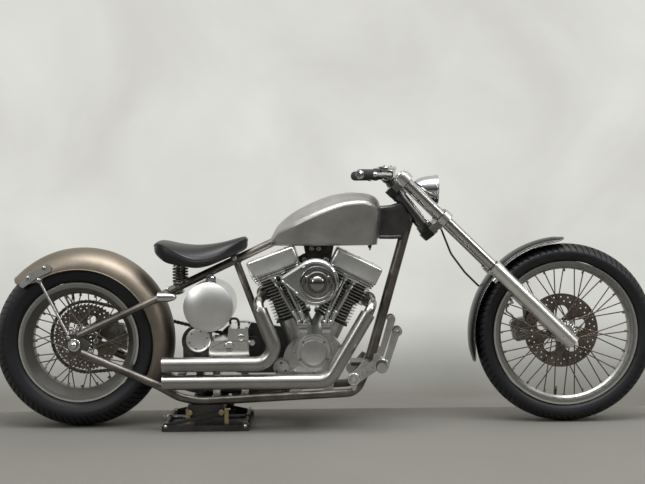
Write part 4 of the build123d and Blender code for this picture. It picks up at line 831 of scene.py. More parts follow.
def plate(outline, low_y, high_y):
    """A flat plate between two values of Y. Its outline is points, or x and z in millimetres."""
    outline = [p if isinstance(p, Vector) else at(p[0], 0, p[1]) for p in outline]
    return skin([[Vector((p.x, y * MM, p.z)) for p in outline] for y in (low_y, high_y)])


def oblong(x, half, start, stop):
    """An outline for plate: so far to each side of x, from one height to another."""
    return [(x - half, start), (x + half, start), (x + half, stop), (x - half, stop)]


piece("gearbox_sprocket", [plate([p + SMALL for p in sprocket_line], 114.2, 119.8),
    turned([(-20, 24), (4, 24), (4, 0)], SMALL, LEFT), hexed(2, 12, 17, SMALL, LEFT)],
    bolt_steel, "frame", "bare_steel", round_over=0.0005)

# ---- Fenders ----
# Rolled steel fenders left bare: the rear one pale and browned by the torch, the front one
# dark. A round wire is rolled into every edge, and small bolts hold them to their brackets.
FENDER_T, FENDER_STEPS, FENDER_COLUMNS = 2.6, 16, 108
END_SHARES = (0.1, 0.2, 0.3, 0.4, 0.5)


def blend_at(table, angle):
    """The value at an angle from a short list of angle and value pairs."""
    for (a, low), (b, high) in zip(table, table[1:]):
        if angle <= b:
            return low + (high - low) * (angle - a) / (b - a)
    return table[-1][1]


def fender_columns(crown, edge, half, start_taper, end_taper):
    """Rows of points over a fender, each from one edge across the crown to the other."""
    columns = []
    first, last = crown[0][0], crown[-1][0]
    angles = [first + (last - first) * (k / FENDER_COLUMNS) for k in range(FENDER_COLUMNS + 1)]
    angles += [first + start_taper[0] * t * t for t in END_SHARES]
    angles += [last - end_taper[0] * t * t for t in END_SHARES]
    for angle in sorted(angles):
        top, low = blend_at(crown, angle), blend_at(edge, angle)
        share = 1.0
        for span, least, away in ((*start_taper, angle - first), (*end_taper, last - angle)):
            if span and away < span:
                share = min(share, least + (1 - least) * math.sqrt(1 - (1 - away / span) ** 2))
        a = math.radians(angle)
        column = []
        for k in range(-FENDER_STEPS, FENDER_STEPS + 1):
            turn = math.pi / 2 * share * k / FENDER_STEPS
            radius = low + (top - low) * max(math.cos(turn), 0) ** 0.9
            column.append((radius, half * math.sin(turn), a))
        columns.append(column)
    return columns


def fender_shell(name, axle, crown, edge, half, start_taper, end_taper, finish, body):
    """A rolled fender of sheet steel with a wire in its edge."""
    columns = fender_columns(crown, edge, half, start_taper, end_taper)
    wide = len(columns[0])
    points, faces = [], []
    for thick in (0.0, FENDER_T):
        for column in columns:
            for radius, y, a in column:
                share = abs(y) / half
                r = radius - thick * math.sqrt(max(1 - share * share, 0.05))
                points.append(
                    axle + at(math.cos(a) * r, y * (1 - thick / half * share), math.sin(a) * r))
    layer = len(columns) * wide
    for i in range(len(columns) - 1):
        for k in range(wide - 1):
            p = i * wide + k
            faces.append((p, p + 1, p + wide + 1, p + wide))
            faces.append((layer + p, layer + p + wide, layer + p + wide + 1, layer + p + 1))
        for k in (0, wide - 1):
            p = i * wide + k
            faces.append((p, p + wide, layer + p + wide, layer + p))
    for i in (0, len(columns) - 1):
        for k in range(wide - 1):
            p = i * wide + k
            faces.append((p, p + 1, layer + p + 1, layer + p))
    shell = piece(name, (points, faces), finish, body, "raw_sheet", crease=50)
    low, high = columns[0], columns[-1]
    path = ([column[0] for column in columns]
        + high[1:] + [column[-1] for column in columns[-2::-1]] + low[-2:0:-1])
    wire = [axle + at(math.cos(a) * (r - 1), y, math.sin(a) * (r - 1)) for r, y, a in path]
    return shell, wire


rear_sheet = worn_metal(
    "rear_sheet", (0.30, 0.258, 0.208), (0.195, 0.17, 0.139), (0.44, 0.54), 4.0, 300)
front_sheet = worn_metal("front_sheet",
    (0.065, 0.065, 0.065), (0.035, 0.035, 0.036), (0.24, 0.34), 6.0, 300, depth=0.00001)
rear_shell, rear_wire = fender_shell("rear_fender_shell",
    REAR_AXLE, [(-28, 365), (30, 367), (70, 368), (102, 361.5), (121, 356.5), (135, 354)],
    [(-28, 300), (100, 284), (135, 284)], 105.5, (0, 1), (15, 0.52), rear_sheet, "frame")
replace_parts(rear_shell, "rear_fender")
front_shell, front_wire = fender_shell(
    "front_fender_shell", FRONT_AXLE, [(91, 372), (97, 375.5), (190, 375.5), (197, 372)],
    [(91, 357), (197, 357)], 56.5, (9, 0.3), (11, 0.3), front_sheet, "steering")
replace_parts(front_shell, "front_fender")

BEAD_R = 2.4
# The front fender's edge wire is far lighter than its sheet: a painted highlight along the edge.
front_edge_highlight = worn_metal(
    "front_edge_highlight", (0.34, 0.325, 0.31), (0.20, 0.19, 0.18), (0.2, 0.3), depth=0.00001)
piece("rear_fender_edge",
    tube(rear_wire, BEAD_R, 10, closed=True), rear_sheet, "frame", "raw_sheet", crease=60)
piece("front_fender_edge",
    tube(front_wire, BEAD_R, 10, closed=True), front_edge_highlight, "steering", "raw_sheet", crease=60)

# ---- Fender struts and brackets ----
# Polished crescent brackets bolted to the fender's sides, on struts up from the axle plates.
# The heads of their bolts stand on the brackets' outer faces.
light_alloy = worn_metal(
    "light_alloy", (0.72, 0.72, 0.71), (0.55, 0.55, 0.545), (0.28, 0.40), 18, 380, depth=0.00001)
coat(light_alloy, "fender_struts")


def sticks_tree():
    """A copy of a pattern at the middle of every edge, with local x along the edge."""
    tree, given, add, copies, end = geometry_tree(
        "on_sticks", [("Pattern", "Object"), ("Material", "Material")])
    ends = add("GeometryNodeInputMeshEdgeVertices")
    way = add("ShaderNodeVectorMath",
        links={0: ends.outputs["Position 2"], 1: ends.outputs["Position 1"]}, operation="SUBTRACT")
    kept = add("GeometryNodeCaptureAttribute", domain="EDGE")
    kept.capture_items.new("VECTOR", "Way")
    fill(kept, links={"Geometry": given["Geometry"], "Way": way})
    spots = add("GeometryNodeMeshToPoints", links={"Mesh": kept.outputs["Geometry"]}, mode="EDGES")
    turn_to = add(
        "FunctionNodeAlignRotationToVector", links={"Vector": kept.outputs["Way"]}, axis="X")
    end(copies("Pattern", spots, Rotation=turn_to))
    return tree


on_sticks = sticks_tree()


def fasteners(name, shape, places, finish, body="frame", slot="polished_alloy"):
    """Copies of a small part at given places, each a point in millimetres and a direction."""
    points, edges = [], []
    for place, direction in places:
        half = Vector(direction).normalized() * MM
        spot = at(*place)
        edges.append((len(points), len(points) + 1))
        points.extend((spot - half, spot + half))
    return grown(
        name, on_sticks, {"Pattern": shape, "Material": finish}, body, slot, points, edges)


def both_ways(*spots):
    """Places for fasteners on both sides, facing outwards, from x, distance out and z."""
    return [((x, side * reach, z), (0, side, 0)) for side in both for x, reach, z in spots]


def socket_head(radius, high):
    """A cap screw's head with its hexagon socket, standing along local x from the origin."""
    lip, deep = radius * 0.9, high * 0.45
    return turned([(-2, 0), (-2, lip), (0, radius), (high * 0.85, radius),
        (high, lip), (high, radius * 0.52), (deep, radius * 0.5), (deep, 0)], steps=18)


def bolt_head(radius, high):
    """A six-sided bolt head on its washer, standing along local x from the origin."""
    washer = radius * 1.35
    return gather(turned([(-2, 0), (-2, washer), (high * 0.2, washer), (high * 0.25,
        radius * 1.28), (high * 0.25, 0)], steps=20), hexed(high * 0.1, high, radius * 1.08))


cap_screw = pattern("cap_screw", socket_head(5.2, 5.0))
small_screw = pattern("small_screw", socket_head(3.6, 3.4))
hex_bolt = pattern("hex_bolt", bolt_head(7.0, 6.5))
big_bolt = pattern("big_bolt", bolt_head(9.5, 8.0))
fasteners("fender_bracket_bolts", hex_bolt, both_ways((-1128, 111, 585), (-1066, 111, 622))
    + both_ways((-1082, 137, 578), (-972, 147, 360)), bolt_steel)

# ---- Fuel tank ----
# A hand-made steel tank, left bare with its planishing marks, with a creased shoulder running
# up from its tail, a flush filler cap, and a petcock below. It is bolted over the backbone.
TANK_BASE = 698
# the nose leans back from its top: where it starts, its length, how far back
NOSE_X, NOSE_LENGTH, NOSE_TOP, NOSE_BACK = 150, 71, 800, 16
# each section: x, half width at the crease, crease height, crown height, half width at base
TANK = [
    (-205, 40, 713, 727, 34), (-192, 60, 729, 751, 50), (-176, 76, 748, 776, 62),
    (-140, 96, 769, 808, 76), (-100, 112, 788, 834, 88), (-40, 125, 815, 864, 98),
    (20, 132, 838, 886, 104), (75, 131, 855, 897, 104), (125, 124, 862, 899, 100),
    (160, 114, 862, 896, 94), (184, 103, 856, 890, 87), (202, 89, 845, 880, 77),
    (213, 74, 831, 866, 65), (219, 60, 816, 851, 54), (222, 46, 801, 834, 42),
]


def smooth_rows(rows, between):
    """Rows of numbers with smooth rows put in between them (Catmull-Rom)."""
    result = []
    for i in range(len(rows) - 1):
        a, b = rows[max(i - 1, 0)], rows[i]
        c, d = rows[i + 1], rows[min(i + 2, len(rows) - 1)]
        for k in range(between):
            t = k / between
            result.append(tuple(0.5 * (2 * q + (r - p) * t + (2 * p - 5 * q + 4 * r - s)
                * t * t + (3 * q - p - 3 * r + s) * t ** 3) for p, q, r, s in zip(a, b, c, d)))
    result.append(tuple(rows[-1]))
    return result


def tank_section(half, crease, crown, base_half):
    """One side of the tank's section from the middle of the crown round to the tunnel."""
    crown_arc = arc_through((half, crease), (0, crown), (-half, crease), 25)
    bulge = max(half, base_half) * 0.6 + base_half * 0.4 + 1
    middle = TANK_BASE + (crease - TANK_BASE) * 0.5
    soft = min(9.0, (crease - TANK_BASE) * 0.3)
    top = crown_arc[12:1:-1]
    lip = arc_through(top[-1], (half - 0.6, crease - soft * 0.25), (half + 0.9, crease - soft), 6)
    side = arc_through(
        (half + 0.9, crease - soft - 1), (bulge, middle), (base_half + 4, TANK_BASE + 7), 12)
    base = [(base_half + 1.5, TANK_BASE + 2),
        (base_half - 4, TANK_BASE), (22, TANK_BASE), (21, TANK_BASE + 10)]
    return top + lip[1:] + side + base


tank_rows = []
for x, half, crease, crown, base_half in smooth_rows(TANK, 5):
    right = tank_section(half, crease, crown, base_half)
    loop = [(-y, z) for y, z in right] + [(y, z) for y, z in reversed(right[1:])]
    lean = max(0.0, (x - NOSE_X) / NOSE_LENGTH)
    tank_rows.append([at(x - NOSE_BACK * lean * min(1.0, max(0.0, (NOSE_TOP - z) / 100)), y, z)
        for y, z in loop])
tank_sheet = worn_metal(
    "tank_sheet", (0.50, 0.49, 0.475), (0.31, 0.303, 0.292), (0.38, 0.47), 4.0, 420)
tank_shell = piece("tank_shell", skin(tank_rows), tank_sheet, "frame", "tank_steel", crease=50)
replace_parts(tank_shell, "fuel_tank")
piece("filler_cap", turned([(-14, 0), (-14, 26), (-1, 27), (0.5, 25.5), (0.6, 22), (-0.8, 21.5),
    (-0.8, 20.5), (1.6, 20), (2.6, 17), (3.2, 0)], at(104, -24, 896), (0.05, -0.14, 1), 40),
    chrome, "frame", "tank_steel")
piece("petcock", [turned([(0, 10), (4, 10), (5, 7), (11, 7)], at(177, -52, 700), DOWN, 24),
    turned([(-3, 7), (10, 7), (11, 5.5), (11, 0)], at(177, -52, 691), RIGHT, 24), turned(
    [(0, 3), (12, 3)], at(177, -52, 689), (0.1, 0, -1), 16)], dark_bolt, "frame", "tank_steel")
fasteners("tank_bolts", hex_bolt, [((x, side * 24, 703), DOWN)
    for side in both for x in (-128, 168)], bolt_steel, slot="tank_steel")

# ---- Seat ----
# A black leather solo saddle: foam on a steel pan, with a thick rolled rim sewn to the dished
# top by a line of stitches, and a skirt pulled under the pan's edge.
# each station: x, half width, height of the top, height of the seam, height of the underside
SEAT = [
    (-655, 34, 697, 694, 690), (-653, 64, 706, 702, 684), (-647, 92, 715, 709, 674),
    (-634, 116, 721, 711, 661), (-606, 136, 718, 704, 640), (-570, 143, 711, 684, 630),
    (-525, 144, 705, 660, 622), (-484, 136, 703, 650, 617), (-440, 110, 706, 654, 624),
    (-400, 82, 712, 668, 639), (-360, 60, 721, 694, 655), (-330, 48, 729, 713, 669),
    (-310, 40, 733, 722, 678), (-300, 30, 729, 722, 689), (-297, 16, 722, 717, 700),
]
seat_rows, rim_line, stitch_line = [], [], []
for x, half, top, seam, low in smooth_rows(SEAT, 3):
    drop, band = top - seam, seam - low
    # shares of the width with their heights, from the middle of the top to the underside
    right = [(0.0, top), (0.34, top - drop * 0.05), (0.60, top - drop * 0.20),
        (0.80, top - drop * 0.48), (0.925, top - drop * 0.80), (0.965, seam + 1.2), (0.968,
        seam - 1.6), (0.985, seam - 4), (1.0, seam - band * 0.34), (0.99, low + band * 0.34),
        (0.955, low + band * 0.10), (0.90, low), (0.5, low + 4), (0.0, low + 5)]
    loop = [(-half * share, z) for share, z in right]
    loop += [(half * share, z) for share, z in reversed(right[1:-1])]
    seat_rows.append([at(x, y, z) for y, z in loop])
    rim_line.append((x, half * 0.974, seam - 0.2))
    stitch_line.append((x, half * 0.925, top - drop * 0.80 + 1.0))


def leather(name):
    """Black grained leather, a little shinier where it is rubbed."""
    finish, main, add = shader(name)
    cells = add("TexVoronoi", {"Scale": 620.0}, feature="DISTANCE_TO_EDGE")
    folds = add("TexNoise", {"Scale": 38.0, "Detail": 5.0})
    rub = add("TexNoise", {"Scale": 7.0, "Detail": 3.0})
    both_reliefs = add("Math", {2: 0.0}, {0: cells, 1: folds}, operation="ADD")
    relief = add("Bump", {"Strength": 0.5, "Distance": 0.0006}, {"Height": both_reliefs})
    gloss = add("MapRange",
        {"From Min": 0.35, "From Max": 0.65, "To Min": 0.30, "To Max": 0.42}, {"Value": rub})
    fill(main, {"Base Color": (0.010, 0.010, 0.012, 1), "Specular IOR Level": 0.45},
        {"Normal": relief, "Roughness": gloss})
    return finish


black_leather = leather("black_leather")
seat_pad = piece(
    "seat_pad", skin(seat_rows), black_leather, "frame", "black_leather", smooth=1, crease=70)
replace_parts(seat_pad, "seat")


def round_the_seat(line):
    """A closed line around the seat from a list of x, half width and height."""
    return [at(x, -y, z) for x, y, z in line] + [at(x, y, z) for x, y, z in reversed(line)]


thread = rubber("seat_thread", (0.10, 0.10, 0.10), (0.06, 0.06, 0.06), 0.6)
piece("seat_welt", tube(round_the_seat(rim_line), 2.0, 8, closed=True),
    black_leather, "frame", "black_leather", crease=80)
stitch = pattern("stitch", turned([(-2.6, 0), (-2.0, 0.7), (2.0, 0.7), (2.6, 0)], steps=6))
seam = round_the_seat(stitch_line)
grown("seat_stitches", along_path, {"Pattern": stitch, "Count": 150, "Material": thread},
    "frame", "black_leather", seam, [(k, (k + 1) % len(seam)) for k in range(len(seam))])

# ---- Seat springs and their mounts ----
# Two dark coil springs between bright turned cups carry the saddle's back, each around a bolt
# up from the frame, and a bolted hinge holds its nose.
coat(dark_bolt, "seat_springs")
SPRING_X, SPRING_Y = -560, 90
cups = []
for side in both:
    for low, tall in ((559, 7), (622, 8)):
        cups.append(turned([(0, 0), (0, 19), (tall * 0.6, 19), (tall, 17), (tall, 0)],
            at(SPRING_X, side * SPRING_Y, low), UP, 28))
    cups.append(turned([(0, 5), (70, 5)], at(SPRING_X, side * SPRING_Y, 556), UP, 14))
    cups.append(hexed(0, 9, 10, at(SPRING_X, side * SPRING_Y, 553), DOWN))
piece("seat_spring_cups", cups, bolt_steel, "frame", "bright_chrome")
fasteners(
    "seat_hinge_bolts", hex_bolt, both_ways((-347, 29, 650)), bolt_steel, slot="bright_chrome")

# ---- Oil tank and battery box ----
# A spun steel oil drum lying across the frame with its seams and a screwed cap, and the box of
# the battery behind the gearbox with its round plated cover.
drum_steel = worn_metal(
    "drum_steel", (0.74, 0.74, 0.73), (0.66, 0.66, 0.65), (0.36, 0.42), 5, 500, depth=0.000012)
coat(drum_steel, "oil_tank")
OIL_CAP = at(-436, -62, 559)
coat(dark_bolt, "battery_box")
piece("oil_tank_cap", [turned([(0, 21.5), (3, 21.5), (4, 20.5)], OIL_CAP, UP, 32), turned(
    [(4, 20.4), (20, 20.4), (23, 18), (24, 0)], OIL_CAP, UP, 32)], chrome, "frame", "tank_steel")
oil_hose = [at(-365, -40, 395), at(-366, -40, 408), at(-360, -40, 415),
    at(-346, -40, 416), at(-336, -40, 410), at(-333, -40, 398), at(-333, -40, 386)]
oil_line = [Vector(p) for p in smooth_rows(oil_hose, 4)]
piece("oil_hose", tube(oil_line, 5.0, 12), black_rubber, "frame", "black_rubber")
fasteners("oil_tank_hanger_bolts",
    cap_screw, both_ways((-444, 14, 576)), bolt_steel, slot="bright_chrome")
COVER = at(-484, 0, 341)
ring("battery_cover_screws", pattern("cover_screw",
    turned([(1.5, 0), (1.5, 3.4), (-2.4, 3.4), (-3.0, 2.6), (-3.0, 0)], (0, 0, 0), LEFT, 12)),
    6, 35, COVER + at(0, -104, 0), 15, dark_bolt, "frame", "polished_alloy")
piece("battery_cover_rim",
    turned([(0, 47.5), (4.4, 47), (6.6, 44), (5.0, 40), (3.2, 37), (3.4, 30), (4.6, 16), (5, 0)],
    COVER + at(0, -103.2, 0), RIGHT, 48), drum_steel, "frame", "polished_alloy")

# ---- Engine: case, gear chest and lifters ----
# An air-cooled V-twin. Cast alloy case polished in places, a gear chest with a round polished
# cam cover held by screws, and bright blocks that carry the valve lifters.
case_alloy = worn_metal(
    "case_alloy", (0.60, 0.60, 0.595), (0.46, 0.46, 0.455), (0.26, 0.40), 26, 520)
bright_alloy = worn_metal(
    "bright_alloy", (0.80, 0.80, 0.79), (0.66, 0.66, 0.655), (0.12, 0.22), 12, 300, depth=0.00001)
satin_alloy = worn_metal(
    "satin_alloy", (0.74, 0.74, 0.73), (0.60, 0.60, 0.59), (0.28, 0.36), 9, 420, depth=0.00001)
coat(case_alloy, "crankcase")


def sided_metal(name, start, stop, dark):
    """Dark up to a distance from the middle plane and polished alloy beyond it: black paint on the
    yokes, painted shade on the primary cover.
    """
    finish, main, add = shader(name)
    split = add("SeparateXYZ")
    out = add("Math", links={0: split.outputs["Y"]}, operation="ABSOLUTE")
    edge = add("MapRange", {"From Min": start, "From Max": stop}, {"Value": out})
    cloud = add("TexNoise", {"Scale": 40.0, "Detail": 4.0})
    bright = add(
        "Mix", {6: (0.56, 0.56, 0.555, 1), 7: (0.72, 0.72, 0.71, 1)}, {0: cloud}, data_type="RGBA")
    tone = add("Mix", {6: (dark, dark, dark, 1)}, {0: edge, 7: bright}, data_type="RGBA")
    fill(main, {"Roughness": 0.28}, {"Base Color": tone, "Metallic": edge})
    return finish


# The primary cover is dark near the middle plane: painted shade on its inner part, polished alloy
# outside.
coat(sided_metal("primary_alloy", 0.136, 0.142, 0.07), "primary_cover")
coat(bright_alloy, "transmission")
coat(dark_bolt, "top_motor_mount")
CRANK = at(-58, 0, 248)
CAM = at(-43, 0, 292)
CHEST_FACE = -118
LIFTERS_X = (-82, 8)
piece("cam_cover", turned([(-2, 70), (12, 69), (16.5, 66.5), (18.6, 62), (18.8, 57), (17.6, 54),
    (17.6, 51), (22, 50), (25, 48.4), (26, 45), (26.2, 0)], CAM + at(0, CHEST_FACE, 0), RIGHT, 64),
    satin_alloy, "frame", "polished_alloy")
screw_y = pattern("screw_y", turned([(3, 0),
    (3, 4.6), (-2.4, 4.6), (-3.2, 3.6), (-3.2, 2.2), (-1.2, 2.0), (-1.2, 0)], (0, 0, 0), LEFT, 14))
fasteners("cam_cover_screws", pattern("cover_screw_head", socket_head(4.6, 2.6)),
    [((-43 + math.cos(a) * 58, -135.5, 292 + math.sin(a) * 58), RIGHT)
    for a in (math.radians(turn) for turn in (45, 133, 205, 335))], dark_bolt)
chest_screws = [(-112, 222),
    (-119, 292), (-92, 349), (24, 349), (55, 316), (59, 246), (26, 221), (-40, 220)]
fasteners("gear_chest_screws",
    cap_screw, [((x, CHEST_FACE, z), RIGHT) for x, z in chest_screws], bolt_steel)
ring("oil_filter_screws",
    screw_y, 3, 20, at(-168, -110, 232), 90, dark_bolt, "frame", "polished_alloy")
fasteners("lifter_block_screws", small_screw, [((x + dx, -112, z), RIGHT)
    for x in LIFTERS_X for dx in (-15, 15) for z in (361, 395)], bolt_steel)
lifters = []
for x in LIFTERS_X:
    lifters.append(plate(oblong(x, 23, 398, 403), -114, -76))
    lifters.append(plate(oblong(x, 16, 366, 390), -114.5, -111))
piece("lifter_block_caps", lifters, bright_alloy, "frame", "polished_alloy", round_over=0.0012)
fasteners("motor_mount_bolts",
    big_bolt, [((x, side * 72, 172), UP) for side in both for x in (-112, 12)], bolt_steel)
CASE_RIBS = 5
case_ribs = []
for k in range(CASE_RIBS):
    a = math.radians(205 + 26 * k)
    inner_p = CRANK + Vector((math.cos(a), 0, math.sin(a))) * 62 * MM
    outer_p = CRANK + Vector((math.cos(a), 0, math.sin(a))) * 98 * MM
    for side in both:
        case_ribs.append(
            tube([inner_p + at(0, side * 68, 0), outer_p + at(0, side * 68, 0)], 3.0, 8))
piece("case_ribs", case_ribs, case_alloy, "frame", "polished_alloy")

# ---- Cylinders and heads ----
# Iron barrels under alloy heads, both cut with thin bright alloy cooling fins, on the case's round
# decks. The cores between the fins are near black: painted shade in the gaps. The spark plugs
# stand in the heads' right sides.
LEANS = (("rear", math.radians(-19.8)), ("front", math.radians(26.3)))


def on_cylinder(lean, across_it, y, up):
    """A point by a cylinder in millimetres: across it, sideways, and up its axis."""
    return CRANK + at(up * math.sin(lean) + across_it * math.cos(lean),
        y, up * math.cos(lean) - across_it * math.sin(lean))


def cylinder_block(lean, outline, low, high):
    """A solid standing along a cylinder's axis from an outline of across and y pairs."""
    return skin([[on_cylinder(lean, u, y, up) for u, y in outline] for up in (low, high)])


def rounded_box(half_long, half_wide, corner, steps=6):
    """A rectangle with round corners as across and y pairs."""
    outline = []
    for quarter, (sx, sy) in enumerate(((1, 1), (-1, 1), (-1, -1), (1, -1))):
        for k in range(steps + 1):
            a = math.radians(90 * quarter + 90 * k / steps)
            outline.append((sx * (half_long - corner) + math.cos(a) * corner,
                sy * (half_wide - corner) + math.sin(a) * corner))
    return outline


def circle(radius, steps=48):
    """A circle as across and y pairs."""
    return [(math.cos(2 * math.pi * k / steps) * radius,
        math.sin(2 * math.pi * k / steps) * radius) for k in range(steps)]


def stack_tree():
    """A pattern repeated in even steps along a line: a stack of fins."""
    tree, given, add, copies, end = geometry_tree("fin_stack",
        [("Pattern", "Object"), ("Count", "Int"), ("Step", "Vector"), ("Material", "Material")])
    spots = add("GeometryNodeMeshLine", links={"Count": given["Count"], "Offset": given["Step"]})
    end(copies("Pattern", spots))
    return tree


fin_stack = stack_tree()
# Near black: black paint on plates, and painted shade in the gaps between fins and between rocker
# layers.
black_iron_and_shade = worn_metal(
    "black_iron_and_shade", (0.035, 0.034, 0.034), (0.018, 0.018, 0.018), (0.45, 0.6), 30, 500, metal=0.0)
fin_edges = worn_metal(
    "fin_alloy", (0.66, 0.655, 0.645), (0.46, 0.455, 0.45), (0.20, 0.34), 30, 500)
FIN_FIRST, FIN_STEP, FIN_THIN = 196, 12.4, 2.8
BARREL_FINS, HEAD_FINS = 7, 6
for name, lean in LEANS:
    axis = on_cylinder(lean, 0, 0, 1) - on_cylinder(lean, 0, 0, 0)
    barrel_fin = pattern(
        "barrel_fin", cylinder_block(lean, circle(75), FIN_FIRST, FIN_FIRST + FIN_THIN))
    head_start = FIN_FIRST + BARREL_FINS * FIN_STEP
    head_fin = pattern("head_fin",
        cylinder_block(lean, rounded_box(88, 76, 26), head_start, head_start + FIN_THIN))
    step = tuple(axis * FIN_STEP)
    fins = grown(f"{name}_barrel_fins", fin_stack, {"Pattern": barrel_fin,
        "Count": BARREL_FINS, "Step": step, "Material": fin_edges}, "frame", "fin_alloy")
    if name == "rear":
        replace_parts(fins, "cylinders")
    grown(f"{name}_head_fins", fin_stack, {"Pattern": head_fin,
        "Count": HEAD_FINS, "Step": step, "Material": fin_edges}, "frame", "fin_alloy")
    # The core is near black: painted shade in the gaps between the fins.
    core = gather(cylinder_block(lean, circle(59), 180, head_start - 3), cylinder_block(lean,
        circle(66), head_start - 8, head_start - 1), cylinder_block(lean, rounded_box(72, 61, 30),
        head_start - 2, 357), cylinder_block(lean, rounded_box(70, 60, 20), 182, 188))
    piece(f"{name}_cylinder_core", core, black_iron_and_shade, "frame", "fin_alloy")
    plug_at = on_cylinder(lean, 0, -58, 326)
    piece(f"{name}_spark_plug", [hexed(14, 24, 10, plug_at, RIGHT), turned([(22, 6), (38, 5), (38,
        8), (52, 8.5), (56, 6), (56, 0)], plug_at, RIGHT, 20)], black_rubber, "frame", "fin_alloy")

# ---- Rocker boxes ----
# Polished alloy boxes on top of the heads, built of stacked layers with near-black layers set
# back between them: painted shade in the grooves. Each cover has a bevelled frame around a
# ribbed side panel, and is held by cap screws.
# each layer: half length, half width, corner, low, high, bright or dark (painted groove shade)
ROCKER_LAYERS = [
    (92, 79, 22, 355, 362, True), (88, 76, 20, 362, 365, False),
    (95, 81, 23, 365, 371.5, True), (91, 78, 20, 371.5, 374.5, False),
    (98, 84, 24, 374.5, 380, True),
]
COVER_LOW, COVER_HIGH = 380, 444
# each bar of the cover's sides: from and to across the cylinder, low, high
FRAME_BARS = [(-86, 86, 382, 387), (-86, 86, 432, 438), (-88, -82, 382, 438), (82, 88, 382, 438)]
SIDE_RIBS = [(-79, 79, low, low + 3.2) for low in (390.5 + k * 6.0 for k in range(7))]
EAR = [(-33, -106), (33, -106), (33, -70), (-33, -70)]
coat(bright_alloy, "rocker_boxes")
rocker_alloy = worn_metal(
    "rocker_alloy", (0.88, 0.88, 0.87), (0.74, 0.74, 0.73), (0.30, 0.42), 10, 420)
for name, lean in LEANS:
    bright_layers, groove_shade_layers = [], []
    for half_long, half_wide, corner, low, high, bright in ROCKER_LAYERS:
        layer = cylinder_block(lean, rounded_box(half_long, half_wide, corner), low, high)
        (bright_layers if bright else groove_shade_layers).append(layer)
    bright_layers.append(cylinder_block(lean, EAR, 356, 369))
    cover = piece(f"{name}_rocker_layers",
        bright_layers, bright_alloy, "frame", "polished_alloy", round_over=0.0008)
    if name == "rear":
        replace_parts(cover, "rocker_boxes")
    # The set-back layers are near black: painted shade in the grooves between the bright layers.
    piece(f"{name}_rocker_gaskets", groove_shade_layers, black_iron_and_shade, "frame", "polished_alloy")
    # the cover: rows of inset and height, closed on top
    steps = [(0, COVER_LOW),
        (0, COVER_HIGH - 7), (1.2, COVER_HIGH - 3.4), (3.4, COVER_HIGH - 1.2), (7, COVER_HIGH)]
    cover_rows = [[on_cylinder(lean, u, y, up)
        for u, y in rounded_box(98 - inset, 84 - inset, 12 - inset * 0.6)] for inset, up in steps]
    piece(f"{name}_rocker_cover",
        skin(cover_rows), rocker_alloy, "frame", "polished_alloy", round_over=0.0008)
    ribs = []
    for side in both:
        for bars, proud in ((FRAME_BARS, 2.6), (SIDE_RIBS, 2.0)):
            back, front = side * 84 - side * 2, side * 84 + side * proud
            for left, right, low, high in bars:
                outline = [(left, back), (right, back), (right, front), (left, front)]
                ribs.append(cylinder_block(lean, outline, low, high))
    piece(f"{name}_rocker_ribs", ribs, rocker_alloy, "frame", "polished_alloy")
    up_way = on_cylinder(lean, 0, 0, 1) - on_cylinder(lean, 0, 0, 0)
    tops = [tuple(on_cylinder(lean, u, y, COVER_HIGH - 3.6) / MM)
        for u in (-58, 0, 58) for y in (-52, 52)]
    fasteners(f"{name}_rocker_screws", cap_screw, [(spot, up_way) for spot in tops], chrome)

# ---- Pushrod tubes and top mount ----
# Chromed telescoping tubes over the pushrods, each with a collar, a spring cap and rubber
# sealing rings, from the lifter blocks up into the heads. A black plate stays the heads.
coat(worn_metal("tube_chrome", (0.66, 0.66, 0.655),
    (0.50, 0.50, 0.495), (0.10, 0.20), 14, 300, depth=0.000005), "pushrod_tubes")
# each tube: foot x, its cylinder, distance across the cylinder at the head
PUSHRODS = [(-96, 0, -17), (-72, 0, 16), (-4, 1, -20), (20, 1, 14)]
collars, seals = [], []
for foot_x, cylinder, across_it in PUSHRODS:
    foot, head = at(foot_x, -96, 402), on_cylinder(LEANS[cylinder][1], across_it, -96, 356)
    way = (head - foot).normalized()
    collars.append(turned(
        [(1, 13), (9, 13), (11, 11), (42, 11), (44, 12.4), (50, 12.4), (52, 9.8)], foot, way, 24))
    collars.append(turned([(-12, 9.6), (-12, 12.4), (-1, 12.4), (0, 9.6)], head, way, 24))
    seals.append(turned([(-1, 13.4), (1.2, 13.8), (2, 12)], foot, way, 24))
    seals.append(turned([(-16, 9.6), (-15, 11), (-13, 11), (-12, 9.6)], head, way, 24))
piece("pushrod_collars", collars, chrome, "frame", "bright_chrome")
piece("pushrod_seals", seals, black_rubber, "frame", "black_rubber")
mount = [(-62, 697), (-5, 697),
    (-5, 668), (14, 664), (28, 650), (20, 612), (-88, 612), (-100, 652), (-80, 664), (-62, 668)]
piece(
    "top_mount_plate", plate(mount, -13, -7), black_iron_and_shade, "frame", "black_paint", round_over=0.001)
fasteners("top_mount_bolts", hex_bolt, [((x, -13, z), RIGHT)
    for x, z in ((-76, 640), (8, 640), (-48, 684), (-20, 684))], bolt_steel, slot="black_paint")

# ---- Carburettor and air cleaner ----
# A carburettor between the heads behind a chromed pressed-steel air cleaner, a teardrop with
# a bright rim, a stepped ring, a domed centre and small screws.
coat(fin_edges, "carburettor")
AIR = at(-32, 0, 566)
AIR_TAIL = at(-150, 0, 576)
AIR_R, TAIL_R = 88, 14


def teardrop(inset, y):
    """The air cleaner's outline, moved inwards by a distance, at some y."""
    line = hull_path(AIR_TAIL, TAIL_R - inset * 0.6, AIR, AIR_R - inset, 4)
    return [Vector((p.x, y * MM, p.z)) for p in line]


